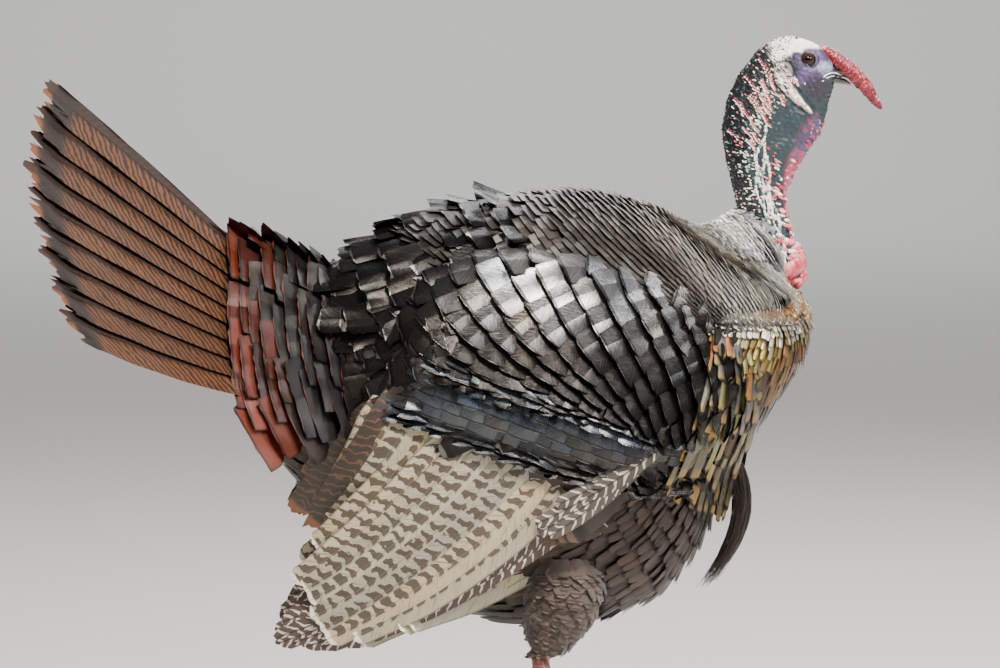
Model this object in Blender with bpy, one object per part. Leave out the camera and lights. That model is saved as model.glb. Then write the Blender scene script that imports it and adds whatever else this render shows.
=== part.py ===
"""Adult male wild turkey, standing, life size: a still display model in metres.

+X is forward, +Y the bird's left, +Z up. The origin is on the floor under the middle of the model.
Head, neck and trunk are one loft through stations on the back and throat-breast-belly lines, parted
by thin cuts. Wings, tail and coverts are feather sheets laid over smooth surfaces.
"""

import math
from collections import namedtuple

import bmesh
import bpy
import numpy as np
from mathutils import Vector

# ---------------------------------------------------------------- driving sizes, metres
GAP = 0.0006  # clearance between touching solids, measured in a ring's own plane

EYE_CENTRE = (0.3325, 0.0152, 0.7496)
EYE_RADIUS = 0.0078
EAR_CENTRE = (0.3130, 0.0222, 0.7372)
EAR_RADIUS = 0.0060

HIP_Y = 0.055  # half the distance between the legs
HOCK = (0.078, 0.182)
FOOT_BALL = (0.091, 0.013)
TARSUS_RADIUS = 0.0068
MIDDLE_TOE = 0.080
CLAW_LENGTH = 0.015
SPUR_LENGTH = 0.026

TAIL_PAIRS = 9
TAIL_FEATHER_LENGTH = 0.3686
TAIL_TIP_WIDTH = 0.062
TAIL_BASE_WIDTH = 0.010
VANE_THICKNESS = 0.0012
SHINGLE_STEP = 0.0022  # how far each tail feather stands over the next one out
TAIL_ELEVATION = (43.2, 17.0)  # degrees above level, middle feather and outermost
TAIL_SPLAY = (0.2, 56.0, -12.0)  # degrees out from the middle line: start, slope and curve
TAIL_ARCH = (0.007, -0.007)  # rise halfway along, middle feather and outermost
TAIL_OUTER_SHORTENING = 0.126  # share of its length that the outermost feather lacks

# The left edge lines of the upper tail coverts, from the middle of the rump down to the flank.
COVERT_ROOTS = ((-0.128, 0.000, 0.508), (-0.128, 0.030, 0.500), (-0.126, 0.052, 0.478),
                (-0.120, 0.069, 0.448), (-0.108, 0.081, 0.410), (-0.085, 0.087, 0.362))
COVERT_TIPS = ((-0.203, 0.000, 0.578), (-0.199, 0.040, 0.541), (-0.198, 0.072, 0.507),
               (-0.194, 0.098, 0.468), (-0.190, 0.107, 0.430), (-0.160, 0.104, 0.372))

WING_CROWN = (0.120, 0.420)  # where the folded wing stands furthest out, in X and Z
WING_CROWN_Y = 0.153
# How the wing's face falls away from its crown, per metre squared of distance.
WING_FALL = {"ahead": 2.0, "behind": 0.50, "above": 1.25, "below": 0.30}

# A station of the body: a point on the back line, one on the belly line, half the width between them,
# and how much the widest place lies towards the back (positive) or the belly (negative).
Station = namedtuple("Station", "back belly half_width top_heavy")

HEAD_STATIONS = (
    Station((0.3525, 0.7540), (0.3560, 0.7285), 0.0105, 0.00),
    Station((0.3460, 0.7605), (0.3545, 0.7215), 0.0148, 0.12),
    Station((0.3360, 0.7665), (0.3520, 0.7130), 0.0190, 0.28),
    Station((0.3240, 0.7710), (0.3490, 0.7050), 0.0213, 0.34),
    Station((0.3110, 0.7722), (0.3455, 0.6970), 0.0222, 0.34),
    Station((0.2970, 0.7685), (0.3410, 0.6885), 0.0222, 0.28),
    Station((0.2840, 0.7600), (0.3355, 0.6790), 0.0222, 0.18),
)
NECK_STATIONS = (
    Station((0.2830, 0.7594), (0.3350, 0.6783), 0.0222, 0.18),
    Station((0.2680, 0.7410), (0.3285, 0.6680), 0.0232, 0.10),
    Station((0.2550, 0.7150), (0.3215, 0.6560), 0.0242, 0.06),
    Station((0.2500, 0.6870), (0.3145, 0.6420), 0.0246, 0.04),
    Station((0.2540, 0.6585), (0.3110, 0.6255), 0.0242, 0.00),
    Station((0.2610, 0.6290), (0.3120, 0.6080), 0.0236, 0.00),
    Station((0.2670, 0.6030), (0.3170, 0.5850), 0.0236, 0.00),
    Station((0.2770, 0.5770), (0.3230, 0.5640), 0.0225, 0.00),
    Station((0.2900, 0.5520), (0.3255, 0.5440), 0.0180, 0.00),
)
TRUNK_STATIONS = (
    Station((0.2690, 0.6070), (0.3000, 0.5840), 0.0330, 0.10),
    Station((0.2660, 0.6085), (0.3085, 0.5640), 0.0500, 0.00),
    Station((0.2570, 0.6040), (0.3130, 0.5360), 0.0670, -0.05),
    Station((0.2450, 0.5965), (0.3240, 0.5255), 0.0760, -0.05),
    Station((0.2300, 0.5925), (0.3330, 0.5160), 0.0840, -0.05),
    Station((0.2130, 0.5985), (0.3350, 0.4930), 0.0930, -0.05),
    Station((0.1850, 0.6130), (0.3260, 0.4610), 0.1050, -0.03),
    Station((0.1420, 0.6250), (0.2920, 0.4120), 0.1170, 0.00),
    Station((0.0980, 0.6285), (0.2560, 0.3520), 0.1250, 0.02),
    Station((0.0580, 0.6250), (0.2360, 0.2930), 0.1290, 0.04),
    Station((0.0180, 0.6180), (0.2010, 0.2440), 0.1280, 0.06),
    Station((-0.0200, 0.6100), (0.1420, 0.2160), 0.1230, 0.08),
    Station((-0.0560, 0.5960), (0.0660, 0.2080), 0.1130, 0.10),
    Station((-0.0860, 0.5790), (-0.0100, 0.2260), 0.0980, 0.12),
    Station((-0.1090, 0.5610), (-0.0760, 0.2640), 0.0800, 0.14),
    Station((-0.1240, 0.5460), (-0.1310, 0.3110), 0.0640, 0.14),
    Station((-0.1380, 0.5310), (-0.1660, 0.3640), 0.0490, 0.10),
    Station((-0.1480, 0.5150), (-0.1840, 0.4220), 0.0340, 0.05),
)
# The crease between the cape of neck feathers and the breast, from the throat to the shoulder.
CREASE_FRONT = (0.314, 0.532)
CREASE_REAR = (0.238, 0.482)
CREASE_DEPTH = 0.011
CREASE_HALF_WIDTH = 0.013

# Stations, points around each ring, and rings from one station to the next.
BODY = {
    "head": (HEAD_STATIONS, 20, 2),
    "neck": (NECK_STATIONS, 20, 1),
    "trunk": (TRUNK_STATIONS, 28, 1),
}

Finish = namedtuple("Finish", "colour roughness metallic")
FINISHES = {
    "bronze_feather": Finish((0.085, 0.066, 0.052), 0.42, 0.45),
    "tail_feather": Finish((0.230, 0.090, 0.040), 0.60, 0.00),
    "tail_covert": Finish((0.260, 0.080, 0.035), 0.55, 0.05),
    "barred_quill": Finish((0.420, 0.370, 0.290), 0.60, 0.00),
    "down": Finish((0.030, 0.025, 0.022), 0.85, 0.00),
    "blue_skin": Finish((0.180, 0.240, 0.290), 0.50, 0.00),
    "red_skin": Finish((0.620, 0.110, 0.110), 0.42, 0.00),
    "bill_horn": Finish((0.330, 0.300, 0.240), 0.35, 0.00),
    "eye": Finish((0.030, 0.014, 0.008), 0.08, 0.00),
    "leg_scale": Finish((0.480, 0.230, 0.190), 0.50, 0.00),
    "claw_horn": Finish((0.060, 0.045, 0.038), 0.35, 0.00),
    "bristle": Finish((0.040, 0.030, 0.026), 0.60, 0.00),
}


# ---------------------------------------------------------------- scene and materials
def clear_scene():
    for old in list(bpy.data.objects):
        bpy.data.objects.remove(old, do_unlink=True)


def collection(name):
    made = bpy.data.collections.new(name)
    bpy.context.scene.collection.children.link(made)
    return made


def finish_material(slot):
    """The Principled material of one finish, made once."""
    found = bpy.data.materials.get(slot)
    if found:
        return found
    finish = FINISHES[slot]
    made = bpy.data.materials.new(slot)
    made.use_nodes = True
    shader = made.node_tree.nodes["Principled BSDF"]
    shader.inputs["Base Color"].default_value = (*finish.colour, 1.0)
    shader.inputs["Roughness"].default_value = finish.roughness
    shader.inputs["Metallic"].default_value = finish.metallic
    return made


class Workshop:
    """Where objects go: parts are kept, cutters only shape them."""

    def __init__(self):
        self.parts = collection("wild_turkey")
        self.cutters = collection("cutters")

    def part(self, name, mesh, slot):
        made = bpy.data.objects.new(name, mesh)
        mesh.materials.clear()
        mesh.materials.append(finish_material(slot))
        mesh.shade_smooth()
        mesh.set_sharp_from_angle(angle=math.radians(50))
        self.parts.objects.link(made)
        return made

    def cutter(self, name, mesh):
        made = bpy.data.objects.new(name, mesh)
        made.hide_render = True
        made.display_type = "WIRE"
        self.cutters.objects.link(made)
        return made

    def clear_of(self, target, region):
        """Cuts away what the target shares with a region of the body and the gap around it."""
        name = f"{region}_room"
        room = bpy.data.objects.get(name) or self.cutter(name, body_mesh(region, inflate=GAP))
        boolean(target, "DIFFERENCE", room)


def boolean(target, operation, other):
    modifier = target.modifiers.new(f"{operation.lower()}_{other.name}", "BOOLEAN")
    modifier.operation = operation
    modifier.solver = "EXACT"
    modifier.object = other


# ---------------------------------------------------------------- curves and lofts
def smooth(values, at):
    """Catmull-Rom curve through the values, read at places from 0 to len(values) - 1."""
    values = np.asarray(values, float)
    at = np.atleast_1d(np.asarray(at, float))
    last = len(values) - 1
    start = np.clip(np.floor(at).astype(int), 0, last - 1)
    u = (at - start).reshape(-1, *[1] * (values.ndim - 1))
    before = values[np.clip(start - 1, 0, last)]
    here = values[start]
    ahead = values[start + 1]
    beyond = values[np.clip(start + 2, 0, last)]
    slope_here = (ahead - before) / 2
    slope_ahead = (beyond - here) / 2
    return (
        (2 * u**3 - 3 * u**2 + 1) * here
        + (u**3 - 2 * u**2 + u) * slope_here
        + (3 * u**2 - 2 * u**3) * ahead
        + (u**3 - u**2) * slope_ahead
    )


def mesh_from(name, points, faces):
    mesh = bpy.data.meshes.new(name)
    mesh.from_pydata([tuple(p) for p in np.reshape(points, (-1, 3))], [], faces)
    work = bmesh.new()
    work.from_mesh(mesh)
    bmesh.ops.recalc_face_normals(work, faces=work.faces)
    work.to_mesh(mesh)
    work.free()
    return mesh


def loft_mesh(name, rings):
    """A closed mesh through rings of points, count x segments x 3, with a flat cap at each end."""
    count, segments = rings.shape[:2]
    faces = [tuple(range(segments)), tuple((count - 1) * segments + i for i in range(segments))]
    for ring in range(count - 1):
        for i in range(segments):
            after = (i + 1) % segments
            low = ring * segments
            high = low + segments
            faces.append((low + i, low + after, high + after))
            faces.append((low + i, high + after, high + i))
    return mesh_from(name, rings, faces)


def crease(points):
    """Pulls the sides in along the line where the neck's cape of feathers ends over the breast."""
    start = np.array(CREASE_FRONT)
    along = np.array(CREASE_REAR) - start
    places = points[..., [0, 2]] - start
    share = np.clip((places @ along) / (along @ along), 0, 1)
    distance = np.linalg.norm(places - share[..., None] * along, axis=-1)
    depth = CREASE_DEPTH * np.exp(-((distance / CREASE_HALF_WIDTH) ** 2)) * (1 - 0.55 * share)
    points[..., 1] -= np.sign(points[..., 1]) * np.minimum(depth, 0.5 * np.abs(points[..., 1]))
    return points


def loft_rings(stations, segments, inflate=0.0, per_span=1):
    at = np.linspace(0, len(stations) - 1, per_span * (len(stations) - 1) + 1)
    back = smooth([s.back for s in stations], at)
    belly = smooth([s.belly for s in stations], at)
    half_width = smooth([s.half_width for s in stations], at)[:, None] + inflate
    top_heavy = smooth([s.top_heavy for s in stations], at)[:, None]
    middle = (back + belly) / 2
    height = np.linalg.norm(back - belly, axis=1)
    up = (back - belly) / height[:, None]
    half_height = height[:, None] / 2 + inflate
    turn = np.linspace(0, 2 * math.pi, segments, endpoint=False)
    rise = np.cos(turn)
    side = np.sin(turn) * (1 + top_heavy * rise)
    rings = np.zeros((len(at), segments, 3))
    rings[..., 0] = middle[:, :1] + half_height * rise * up[:, :1]
    rings[..., 1] = half_width * side
    rings[..., 2] = middle[:, 1:] + half_height * rise * up[:, 1:]
    for end, inner in ((0, 1), (-1, -2)):
        square = np.array([up[end, 1], -up[end, 0]])
        square *= np.sign(square @ (middle[end] - middle[inner]))
        rings[end, :, 0] += 1.5 * inflate * square[0]
        rings[end, :, 2] += 1.5 * inflate * square[1]
    return rings


def body_mesh(region, inflate=0.0):
    stations, segments, per_span = BODY[region]
    rings = loft_rings(stations, segments, inflate, per_span)
    return loft_mesh(region, crease(rings) if region == "trunk" else rings)


def tapered_tube(name, route, radii, sides_level=1, steps=2, flatten=1.0):
    """A mesh from a curve with filled caps through the route's points, each with its own radius."""
    at = np.linspace(0, len(route) - 1, steps * (len(route) - 1) + 1)
    line = smooth(route, at)
    widths = smooth(radii, at)
    curve = bpy.data.curves.new(name, "CURVE")
    curve.dimensions = "3D"
    curve.bevel_depth = 1.0
    curve.bevel_resolution = sides_level
    curve.use_fill_caps = True
    spline = curve.splines.new("POLY")
    spline.points.add(len(line) - 1)
    for point, place, width in zip(spline.points, line, widths):
        point.co = (*place, 1.0)
        point.radius = float(width)
    holder = bpy.data.objects.new(name, curve)
    bpy.context.scene.collection.objects.link(holder)
    bpy.context.view_layer.update()
    graph = bpy.context.evaluated_depsgraph_get()
    mesh = bpy.data.meshes.new_from_object(holder.evaluated_get(graph))
    bpy.data.objects.remove(holder)
    work = bmesh.new()
    work.from_mesh(mesh)
    bmesh.ops.remove_doubles(work, verts=work.verts, dist=1e-6)
    bmesh.ops.recalc_face_normals(work, faces=work.faces)
    if flatten != 1.0:
        for vertex in work.verts:
            nearest = line[np.argmin(np.linalg.norm(line - np.array(vertex.co), axis=1))]
            vertex.co.y = nearest[1] + (vertex.co.y - nearest[1]) * flatten
    work.to_mesh(mesh)
    work.free()
    mesh.name = name
    return mesh


def ball_mesh(name, centre, radii, segments=12, rings=7):
    work = bmesh.new()
    bmesh.ops.create_uvsphere(work, u_segments=segments, v_segments=rings, radius=1.0)
    for vertex in work.verts:
        vertex.co = Vector(centre) + Vector(c * r for c, r in zip(vertex.co, radii))
    mesh = bpy.data.meshes.new(name)
    work.to_mesh(mesh)
    work.free()
    return mesh


def sheet_mesh(name, outer, inner):
    """A closed sheet between two grids of points, rows x columns x 3."""
    rows, columns = outer.shape[:2]
    size = rows * columns
    faces = []
    for r in range(rows - 1):
        for c in range(columns - 1):
            a = r * columns + c
            quad = (a, a + 1, a + columns + 1, a + columns)
            faces.append(quad)
            faces.append(tuple(size + i for i in reversed(quad)))
    rim = [c for c in range(columns)]
    rim += [r * columns + columns - 1 for r in range(1, rows)]
    rim += [(rows - 1) * columns + c for c in range(columns - 2, -1, -1)]
    rim += [r * columns for r in range(rows - 2, 0, -1)]
    for here, after in zip(rim, rim[1:] + rim[:1]):
        faces.append((here, size + here, size + after, after))
    return mesh_from(name, np.concatenate([outer.reshape(-1, 3), inner.reshape(-1, 3)]), faces)


def grid_normals(grid):
    along = np.gradient(grid, axis=0)
    across = np.gradient(grid, axis=1)
    normal = np.cross(along, across)
    return normal / np.maximum(np.linalg.norm(normal, axis=-1, keepdims=True), 1e-12)


# ---------------------------------------------------------------- head, neck and trunk
def add_trunk(shop):
    trunk = shop.part("trunk", body_mesh("trunk"), "bronze_feather")
    shop.clear_of(trunk, "neck")


def add_neck_and_head(shop):
    shop.part("neck", body_mesh("neck"), "blue_skin")
    head = shop.part("head", body_mesh("head"), "blue_skin")
    for side, sign in (("right", -1), ("left", 1)):
        for organ, centre, radii, slot in (
            ("eye", EYE_CENTRE, (EYE_RADIUS,) * 3, "eye"),
            ("ear", EAR_CENTRE, (EAR_RADIUS, EAR_RADIUS * 0.5, EAR_RADIUS * 1.2), "blue_skin"),
        ):
            place = (centre[0], sign * centre[1], centre[2])
            name = f"{organ}_{side}"
            shop.part(name, ball_mesh(name, place, radii), slot)
            socket = ball_mesh(f"{name}_socket", place, [r + GAP for r in radii])
            boolean(head, "DIFFERENCE", shop.cutter(f"{name}_socket", socket))


def add_bill(shop):
    """Two curved horn mandibles, parted along the gape, that start just ahead of the face."""
    face = HEAD_STATIONS[0]
    lean = (face.belly[0] - face.back[0]) / (face.back[1] - face.belly[1])

    def root(z):
        return face.back[0] + lean * (face.back[1] - z) + GAP, z

    culmen = (root(0.7522), (0.3640, 0.7475), (0.3715, 0.7385), (0.3752, 0.7265))
    gape = (root(0.7345), (0.3650, 0.7338), (0.3720, 0.7300), (0.3745, 0.7258))
    tongue_side = (root(0.7339), (0.3640, 0.7331), (0.3700, 0.7296), (0.3722, 0.7266))
    keel = (root(0.7288), (0.3620, 0.7275), (0.3680, 0.7264), (0.3712, 0.7256))
    upper_widths = (0.0098, 0.0080, 0.0055, 0.0014)
    lower_widths = (0.0086, 0.0068, 0.0045, 0.0014)
    for name, above, below, widths, egg in (
        ("bill_upper", culmen, gape, upper_widths, -0.25),
        ("bill_lower", tongue_side, keel, lower_widths, 0.25),
    ):
        stations = [Station(*station, egg) for station in zip(above, below, widths)]
        shop.part(name, loft_mesh(name, loft_rings(stations, 12, per_span=2)), "bill_horn")


def add_snood_and_wattles(shop):
    snood_route = ((0.3500, 0, 0.7610), (0.3600, 0, 0.7570), (0.3715, 0, 0.7462),
                   (0.3830, 0, 0.7310), (0.3940, 0, 0.7150), (0.4020, 0, 0.7030))
    snood = tapered_tube("snood", snood_route, (0.0040, 0.0058, 0.0074, 0.0072, 0.0052, 0.0020))
    shop.part("snood", snood, "red_skin")
    for name in ("head", "bill_upper"):
        room = tapered_tube(f"snood_room_{name}", ((0.3490, 0, 0.7612), *snood_route[1:]),
                            (0.0046, 0.0064, 0.0080, 0.0078, 0.0058, 0.0026))
        boolean(bpy.data.objects[name], "DIFFERENCE", shop.cutter(f"snood_room_{name}", room))

    dewlap_route = ((0.3500, 0, 0.7040), (0.3440, 0, 0.6900), (0.3350, 0, 0.6740),
                    (0.3250, 0, 0.6590), (0.3165, 0, 0.6440), (0.3135, 0, 0.6280))
    dewlap = tapered_tube("dewlap", dewlap_route, (0.0030, 0.0070, 0.0085, 0.0085, 0.0075, 0.0040),
                          flatten=0.55)
    made = shop.part("dewlap", dewlap, "red_skin")
    shop.clear_of(made, "neck")
    shop.clear_of(made, "head")

    lobes = (((0.3195, 0.0, 0.5580), (0.0125, 0.0150, 0.0170)),
             ((0.3225, 0.0, 0.5440), (0.0105, 0.0125, 0.0105)),
             ((0.3130, 0.0150, 0.5530), (0.0095, 0.0090, 0.0130)),
             ((0.3130, -0.0150, 0.5530), (0.0095, 0.0090, 0.0130)))
    made = shop.part("caruncles", ball_mesh("caruncles", *lobes[0]), "red_skin")
    for i, lobe in enumerate(lobes[1:]):
        boolean(made, "UNION", shop.cutter(f"caruncle_{i}", ball_mesh(f"caruncle_{i}", *lobe)))
    shop.clear_of(made, "neck")
    shop.clear_of(made, "trunk")


def add_beard(shop):
    """The tuft of bristles that hangs from the middle of the breast."""
    route = ((0.2560, 0, 0.3780), (0.2680, 0, 0.3560), (0.2730, 0, 0.3280),
             (0.2640, 0, 0.2960), (0.2480, 0, 0.2680), (0.2330, 0, 0.2460))
    beard = tapered_tube("beard", route, (0.0050, 0.0065, 0.0085, 0.0090, 0.0070, 0.0030))
    made = shop.part("beard", beard, "bristle")
    shop.clear_of(made, "trunk")


# ---------------------------------------------------------------- legs
def add_legs(shop):
    for side, sign in (("right", -1), ("left", 1)):
        y = sign * HIP_Y
        thigh_route = ((0.102, y * 1.05, 0.285), (0.100, y * 1.05, 0.250), (0.091, y, 0.220),
                       (0.083, y, 0.198), (HOCK[0] + 0.001, y, HOCK[1] + 0.008))
        name = f"thigh_{side}"
        thigh = tapered_tube(name, thigh_route, (0.040, 0.042, 0.033, 0.021, 0.0105), 2, 2)
        shop.clear_of(shop.part(name, thigh, "down"), "trunk")
        add_shank(shop, side, y)
        add_foot(shop, side, sign, y)


def add_shank(shop, side, y):
    low = Vector((FOOT_BALL[0] - 0.002, y, FOOT_BALL[1] + 0.0115))
    high = Vector((HOCK[0], y, HOCK[1] + 0.0065))
    route = [high.lerp(low, share) for share in (0, 0.07, 0.16, 0.35, 0.6, 0.85, 1)]
    r = TARSUS_RADIUS
    radii = (r * 1.1, r * 1.45, r * 1.12, r * 0.92, r * 0.92, r * 1.05, r * 1.12)
    name = f"tarsus_{side}"
    shop.part(name, tapered_tube(name, route, radii, 1, 1), "leg_scale")
    inward = -math.copysign(1, y)
    room_route = [route[0] + (high - low).normalized() * 2 * GAP] + route[1:]
    room = tapered_tube(f"tarsus_room_{side}", room_route, [radius + GAP for radius in radii], 1, 1)
    room = shop.cutter(f"tarsus_room_{side}", room)
    boolean(bpy.data.objects[f"thigh_{side}"], "DIFFERENCE", room)
    root = high.lerp(low, 0.66) + Vector((-r * 0.78, inward * r * 0.78, 0))
    tip = root + Vector((-SPUR_LENGTH * 0.80, inward * SPUR_LENGTH * 0.35, SPUR_LENGTH * 0.30))
    middle = (root + tip) / 2 + Vector((0, 0, -0.0015))
    name = f"spur_{side}"
    spur = shop.part(name, tapered_tube(name, (root, middle, tip), (0.0040, 0.0027, 0.0007), 1, 2),
                     "claw_horn")
    boolean(spur, "DIFFERENCE", room)


def flat_sole(mesh):
    """Presses what would go through the floor up to it, which leaves small flats under the pads."""
    for vertex in mesh.vertices:
        vertex.co.z = max(vertex.co.z, 0.0)
    return mesh


def add_foot(shop, side, sign, y):
    """Three toes ahead and one behind, with pads, flat on the floor, and a claw on each."""
    ball = Vector((FOOT_BALL[0], y, 0.0))
    toes = (("middle", 4.0, MIDDLE_TOE, 0.0066), ("outer", 34.0, MIDDLE_TOE * 0.76, 0.0058),
            ("inner", -30.0, MIDDLE_TOE * 0.74, 0.0058), ("hind", 176.0, MIDDLE_TOE * 0.42, 0.0048))
    pad = ball_mesh(f"foot_{side}", (ball.x, y, 0.0085), (0.0125, 0.0115, 0.0145), 10, 7)
    foot = shop.part(f"foot_{side}", flat_sole(pad), "leg_scale")
    for toe, angle, length, radius in toes:
        heading = math.radians(angle * sign if abs(angle) < 90 else angle)
        ahead = Vector((math.cos(heading), math.sin(heading), 0.0))
        shares = (0.0, 0.32, 0.44, 0.66, 1.0)
        swell = (1.10, 1.0, 0.86, 0.94, 0.70)
        route = [ball + ahead * length * s + Vector((0, 0, radius * k * 0.88))
                 for s, k in zip(shares, swell)]
        radii = [radius * k for k in swell]
        name = f"toe_{toe}_{side}"
        mesh = flat_sole(tapered_tube(name, route, radii, 1, 1))
        boolean(foot, "UNION", shop.cutter(name, mesh))
        add_claw(shop, f"{toe}_{side}", route[-1] + ahead * 2 * GAP, ahead, radius * 0.62)


def add_claw(shop, name, root, ahead, radius):
    size = CLAW_LENGTH if not name.startswith("hind") else CLAW_LENGTH * 0.7
    middle = root + ahead * size * 0.5 + Vector((0, 0, radius * 0.25))
    tip = root + ahead * size + Vector((0, 0, 0.0014 - root.z))
    mesh = tapered_tube(f"claw_{name}", (root, middle, tip), (radius, radius * 0.72, 0.0008), 0, 2)
    shop.part(f"claw_{name}", flat_sole(mesh), "claw_horn")


# ---------------------------------------------------------------- tail
def tail_surface(across, out):
    """One half of the fan, a roof over the rump. across runs from 0 on the middle line to 1 at the
    outermost feather, and out from 0 at the roots to 1 at the tips. It is the bird's left half."""
    root = np.stack([
        -0.120 - 0.015 * across,
        0.0020 + 0.028 * across,
        0.487 - 0.055 * across**1.3,
    ], axis=-1)
    elevation = np.radians(TAIL_ELEVATION[0] + (TAIL_ELEVATION[1] - TAIL_ELEVATION[0]) * across)
    splay = np.radians(TAIL_SPLAY[0] + TAIL_SPLAY[1] * across + TAIL_SPLAY[2] * across**2)
    heading = np.stack([
        -np.cos(elevation) * np.cos(splay),
        np.cos(elevation) * np.sin(splay),
        np.sin(elevation),
    ], axis=-1)
    length = TAIL_FEATHER_LENGTH * (1.0 - TAIL_OUTER_SHORTENING * across)
    place = root + heading * (out * length)[..., None]
    arch = TAIL_ARCH[0] + (TAIL_ARCH[1] - TAIL_ARCH[0]) * across
    place[..., 2] += np.sin(math.pi * np.minimum(out, 1)) * arch
    return place


def fan_points(across, out, lift):
    """Points of the fan's left half, raised from it along its outward normal."""
    step = 1e-3
    place = tail_surface(across, out)
    sideways = tail_surface(across + step, out) - place
    outwards = tail_surface(across, out + step) - place
    normal = np.cross(sideways, outwards)
    normal /= np.linalg.norm(normal, axis=-1, keepdims=True)
    return place + normal * np.asarray(lift)[..., None]


def half_fan_width(out):
    """Length of the arc over one half of the fan at this distance out."""
    across = np.linspace(0, 1, 30)
    return np.array([
        np.linalg.norm(np.diff(tail_surface(across, np.full(30, o)), axis=0), axis=1).sum()
        for o in np.atleast_1d(out)
    ])


def add_tail(shop):
    out = np.array([0.10, 0.35, 0.62, 0.90, 1.0])
    width = TAIL_BASE_WIDTH + (TAIL_TIP_WIDTH - TAIL_BASE_WIDTH) * np.sin(out * math.pi / 2) ** 0.8
    width[-1] *= 0.80
    half_span = width / half_fan_width(out) / 2
    pitch = 1.0 / (TAIL_PAIRS - 0.5)
    for i in range(TAIL_PAIRS):
        middle = pitch * (i + 0.5)
        sides = np.array([-1.0, 0.0, 1.0])
        across = middle + half_span[:, None] * sides
        across = np.maximum(across, 0.004)
        reach = np.broadcast_to(out[:, None], across.shape).copy()
        reach[-1] += (-0.012, 0.0, -0.012)
        tilt = (across - middle) / pitch * SHINGLE_STEP
        for side, sign in (("right", -1), ("left", 1)):
            name = f"rectrix_{side}_{i + 1}"
            mirror = np.array([1.0, sign, 1.0])
            upper = fan_points(across, reach, tilt) * mirror
            lower = fan_points(across, reach, tilt - VANE_THICKNESS) * mirror
            made = shop.part(name, sheet_mesh(name, upper, lower), "tail_feather")
            shop.clear_of(made, "trunk")


def add_tail_coverts(shop):
    """Over the roots of the tail a saddle of coverts that hangs down past its lower edges, and under
    the roots a roof-shaped sheet."""
    at = np.linspace(0, 5, 8)
    root_line = smooth(COVERT_ROOTS, at)
    tip_line = smooth(COVERT_TIPS, at)
    share = np.linspace(0, 1, 5)[:, None, None]
    left = root_line + (tip_line - root_line) * share
    left[..., 2] += 0.006 * np.sin(math.pi * share[..., 0])
    left[1:, 1::2] -= 0.05 * (tip_line - root_line)[1::2] * share[1:]
    inwards = grid_normals(left)
    inwards *= np.sign(((np.array([-0.10, 0.0, 0.40]) - left) * inwards).sum(-1, keepdims=True))
    inner_left = left + inwards * (0.010 - 0.0075 * share)
    for grid in (left, inner_left):
        grid[:, 0, 1] = 0.0
    mirror = np.array([1.0, -1.0, 1.0])
    outer = np.concatenate([(left * mirror)[:, :0:-1], left], axis=1)
    inner = np.concatenate([(inner_left * mirror)[:, :0:-1], inner_left], axis=1)
    name = "tail_coverts_upper"
    shop.clear_of(shop.part(name, sheet_mesh(name, outer, inner), "tail_covert"), "trunk")

    across = np.linspace(-1, 1, 11) * 0.98
    folded, reach = np.meshgrid(np.abs(across), [0.02, 0.16, 0.30, 0.42])
    folded = np.maximum(folded, 0.01)
    depth = np.array([0.024, 0.022, 0.014, 0.004])[:, None] * (1.0 - 0.5 * folded)
    near = fan_points(folded, reach, -1.6 * SHINGLE_STEP - VANE_THICKNESS + 0 * reach)
    far = near - np.array([-0.2, 0.0, 1.0]) * depth[..., None]
    for grid in (near, far):
        grid[..., 1] = np.maximum(grid[..., 1], 0.010 * folded) * np.sign(np.round(across, 6))
    name = "tail_coverts_under"
    shop.clear_of(shop.part(name, sheet_mesh(name, near, far), "down"), "trunk")


# ---------------------------------------------------------------- wings
def wing_side(x, z):
    """How far out the folded wing's outer face stands at a place in the side view."""
    ahead = np.maximum(x - WING_CROWN[0], 0)
    behind = np.maximum(WING_CROWN[0] - x, 0)
    above = np.maximum(z - WING_CROWN[1], 0)
    below = np.maximum(WING_CROWN[1] - z, 0)
    fall = WING_FALL["ahead"] * ahead**2 + WING_FALL["behind"] * behind**2
    return WING_CROWN_Y - fall - WING_FALL["above"] * above**2 - WING_FALL["below"] * below**2


def wing_sheet(shop, name, upper, lower, depth, thickness, slot, columns, rows=4, belly=0.0):
    """A sheet in the wing's surface between an upper and a lower edge, each a list of X, Z points.

    depth is how far its outer face lies under the wing's, thickness its own, and belly how far its
    edges are rounded in."""
    at = np.linspace(0, len(upper) - 1, columns)
    share = np.linspace(0, 1, rows)
    edge_up = smooth(upper, at)[None]
    edge_low = smooth(lower, at)[None]
    flat = edge_up + (edge_low - edge_up) * share[:, None, None]
    x, z = flat[..., 0], flat[..., 1]
    place = at / (len(upper) - 1)
    rounding = belly * (np.abs(2 * share[:, None] - 1) ** 3 + np.abs(2 * place[None] - 1) ** 6)
    y_out = wing_side(x, z) - depth - rounding
    y_in = np.minimum(y_out - 0.001, wing_side(x, z) - depth - thickness)
    outer = np.stack([x, y_out, z], axis=-1)
    inner = np.stack([x, y_in, z], axis=-1)
    for side, sign in (("right", -1), ("left", 1)):
        mirror = np.array([1.0, sign, 1.0])
        full = f"{name}_{side}"
        made = shop.part(full, sheet_mesh(full, outer * mirror, inner * mirror), slot)
        shop.clear_of(made, "trunk")


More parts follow.
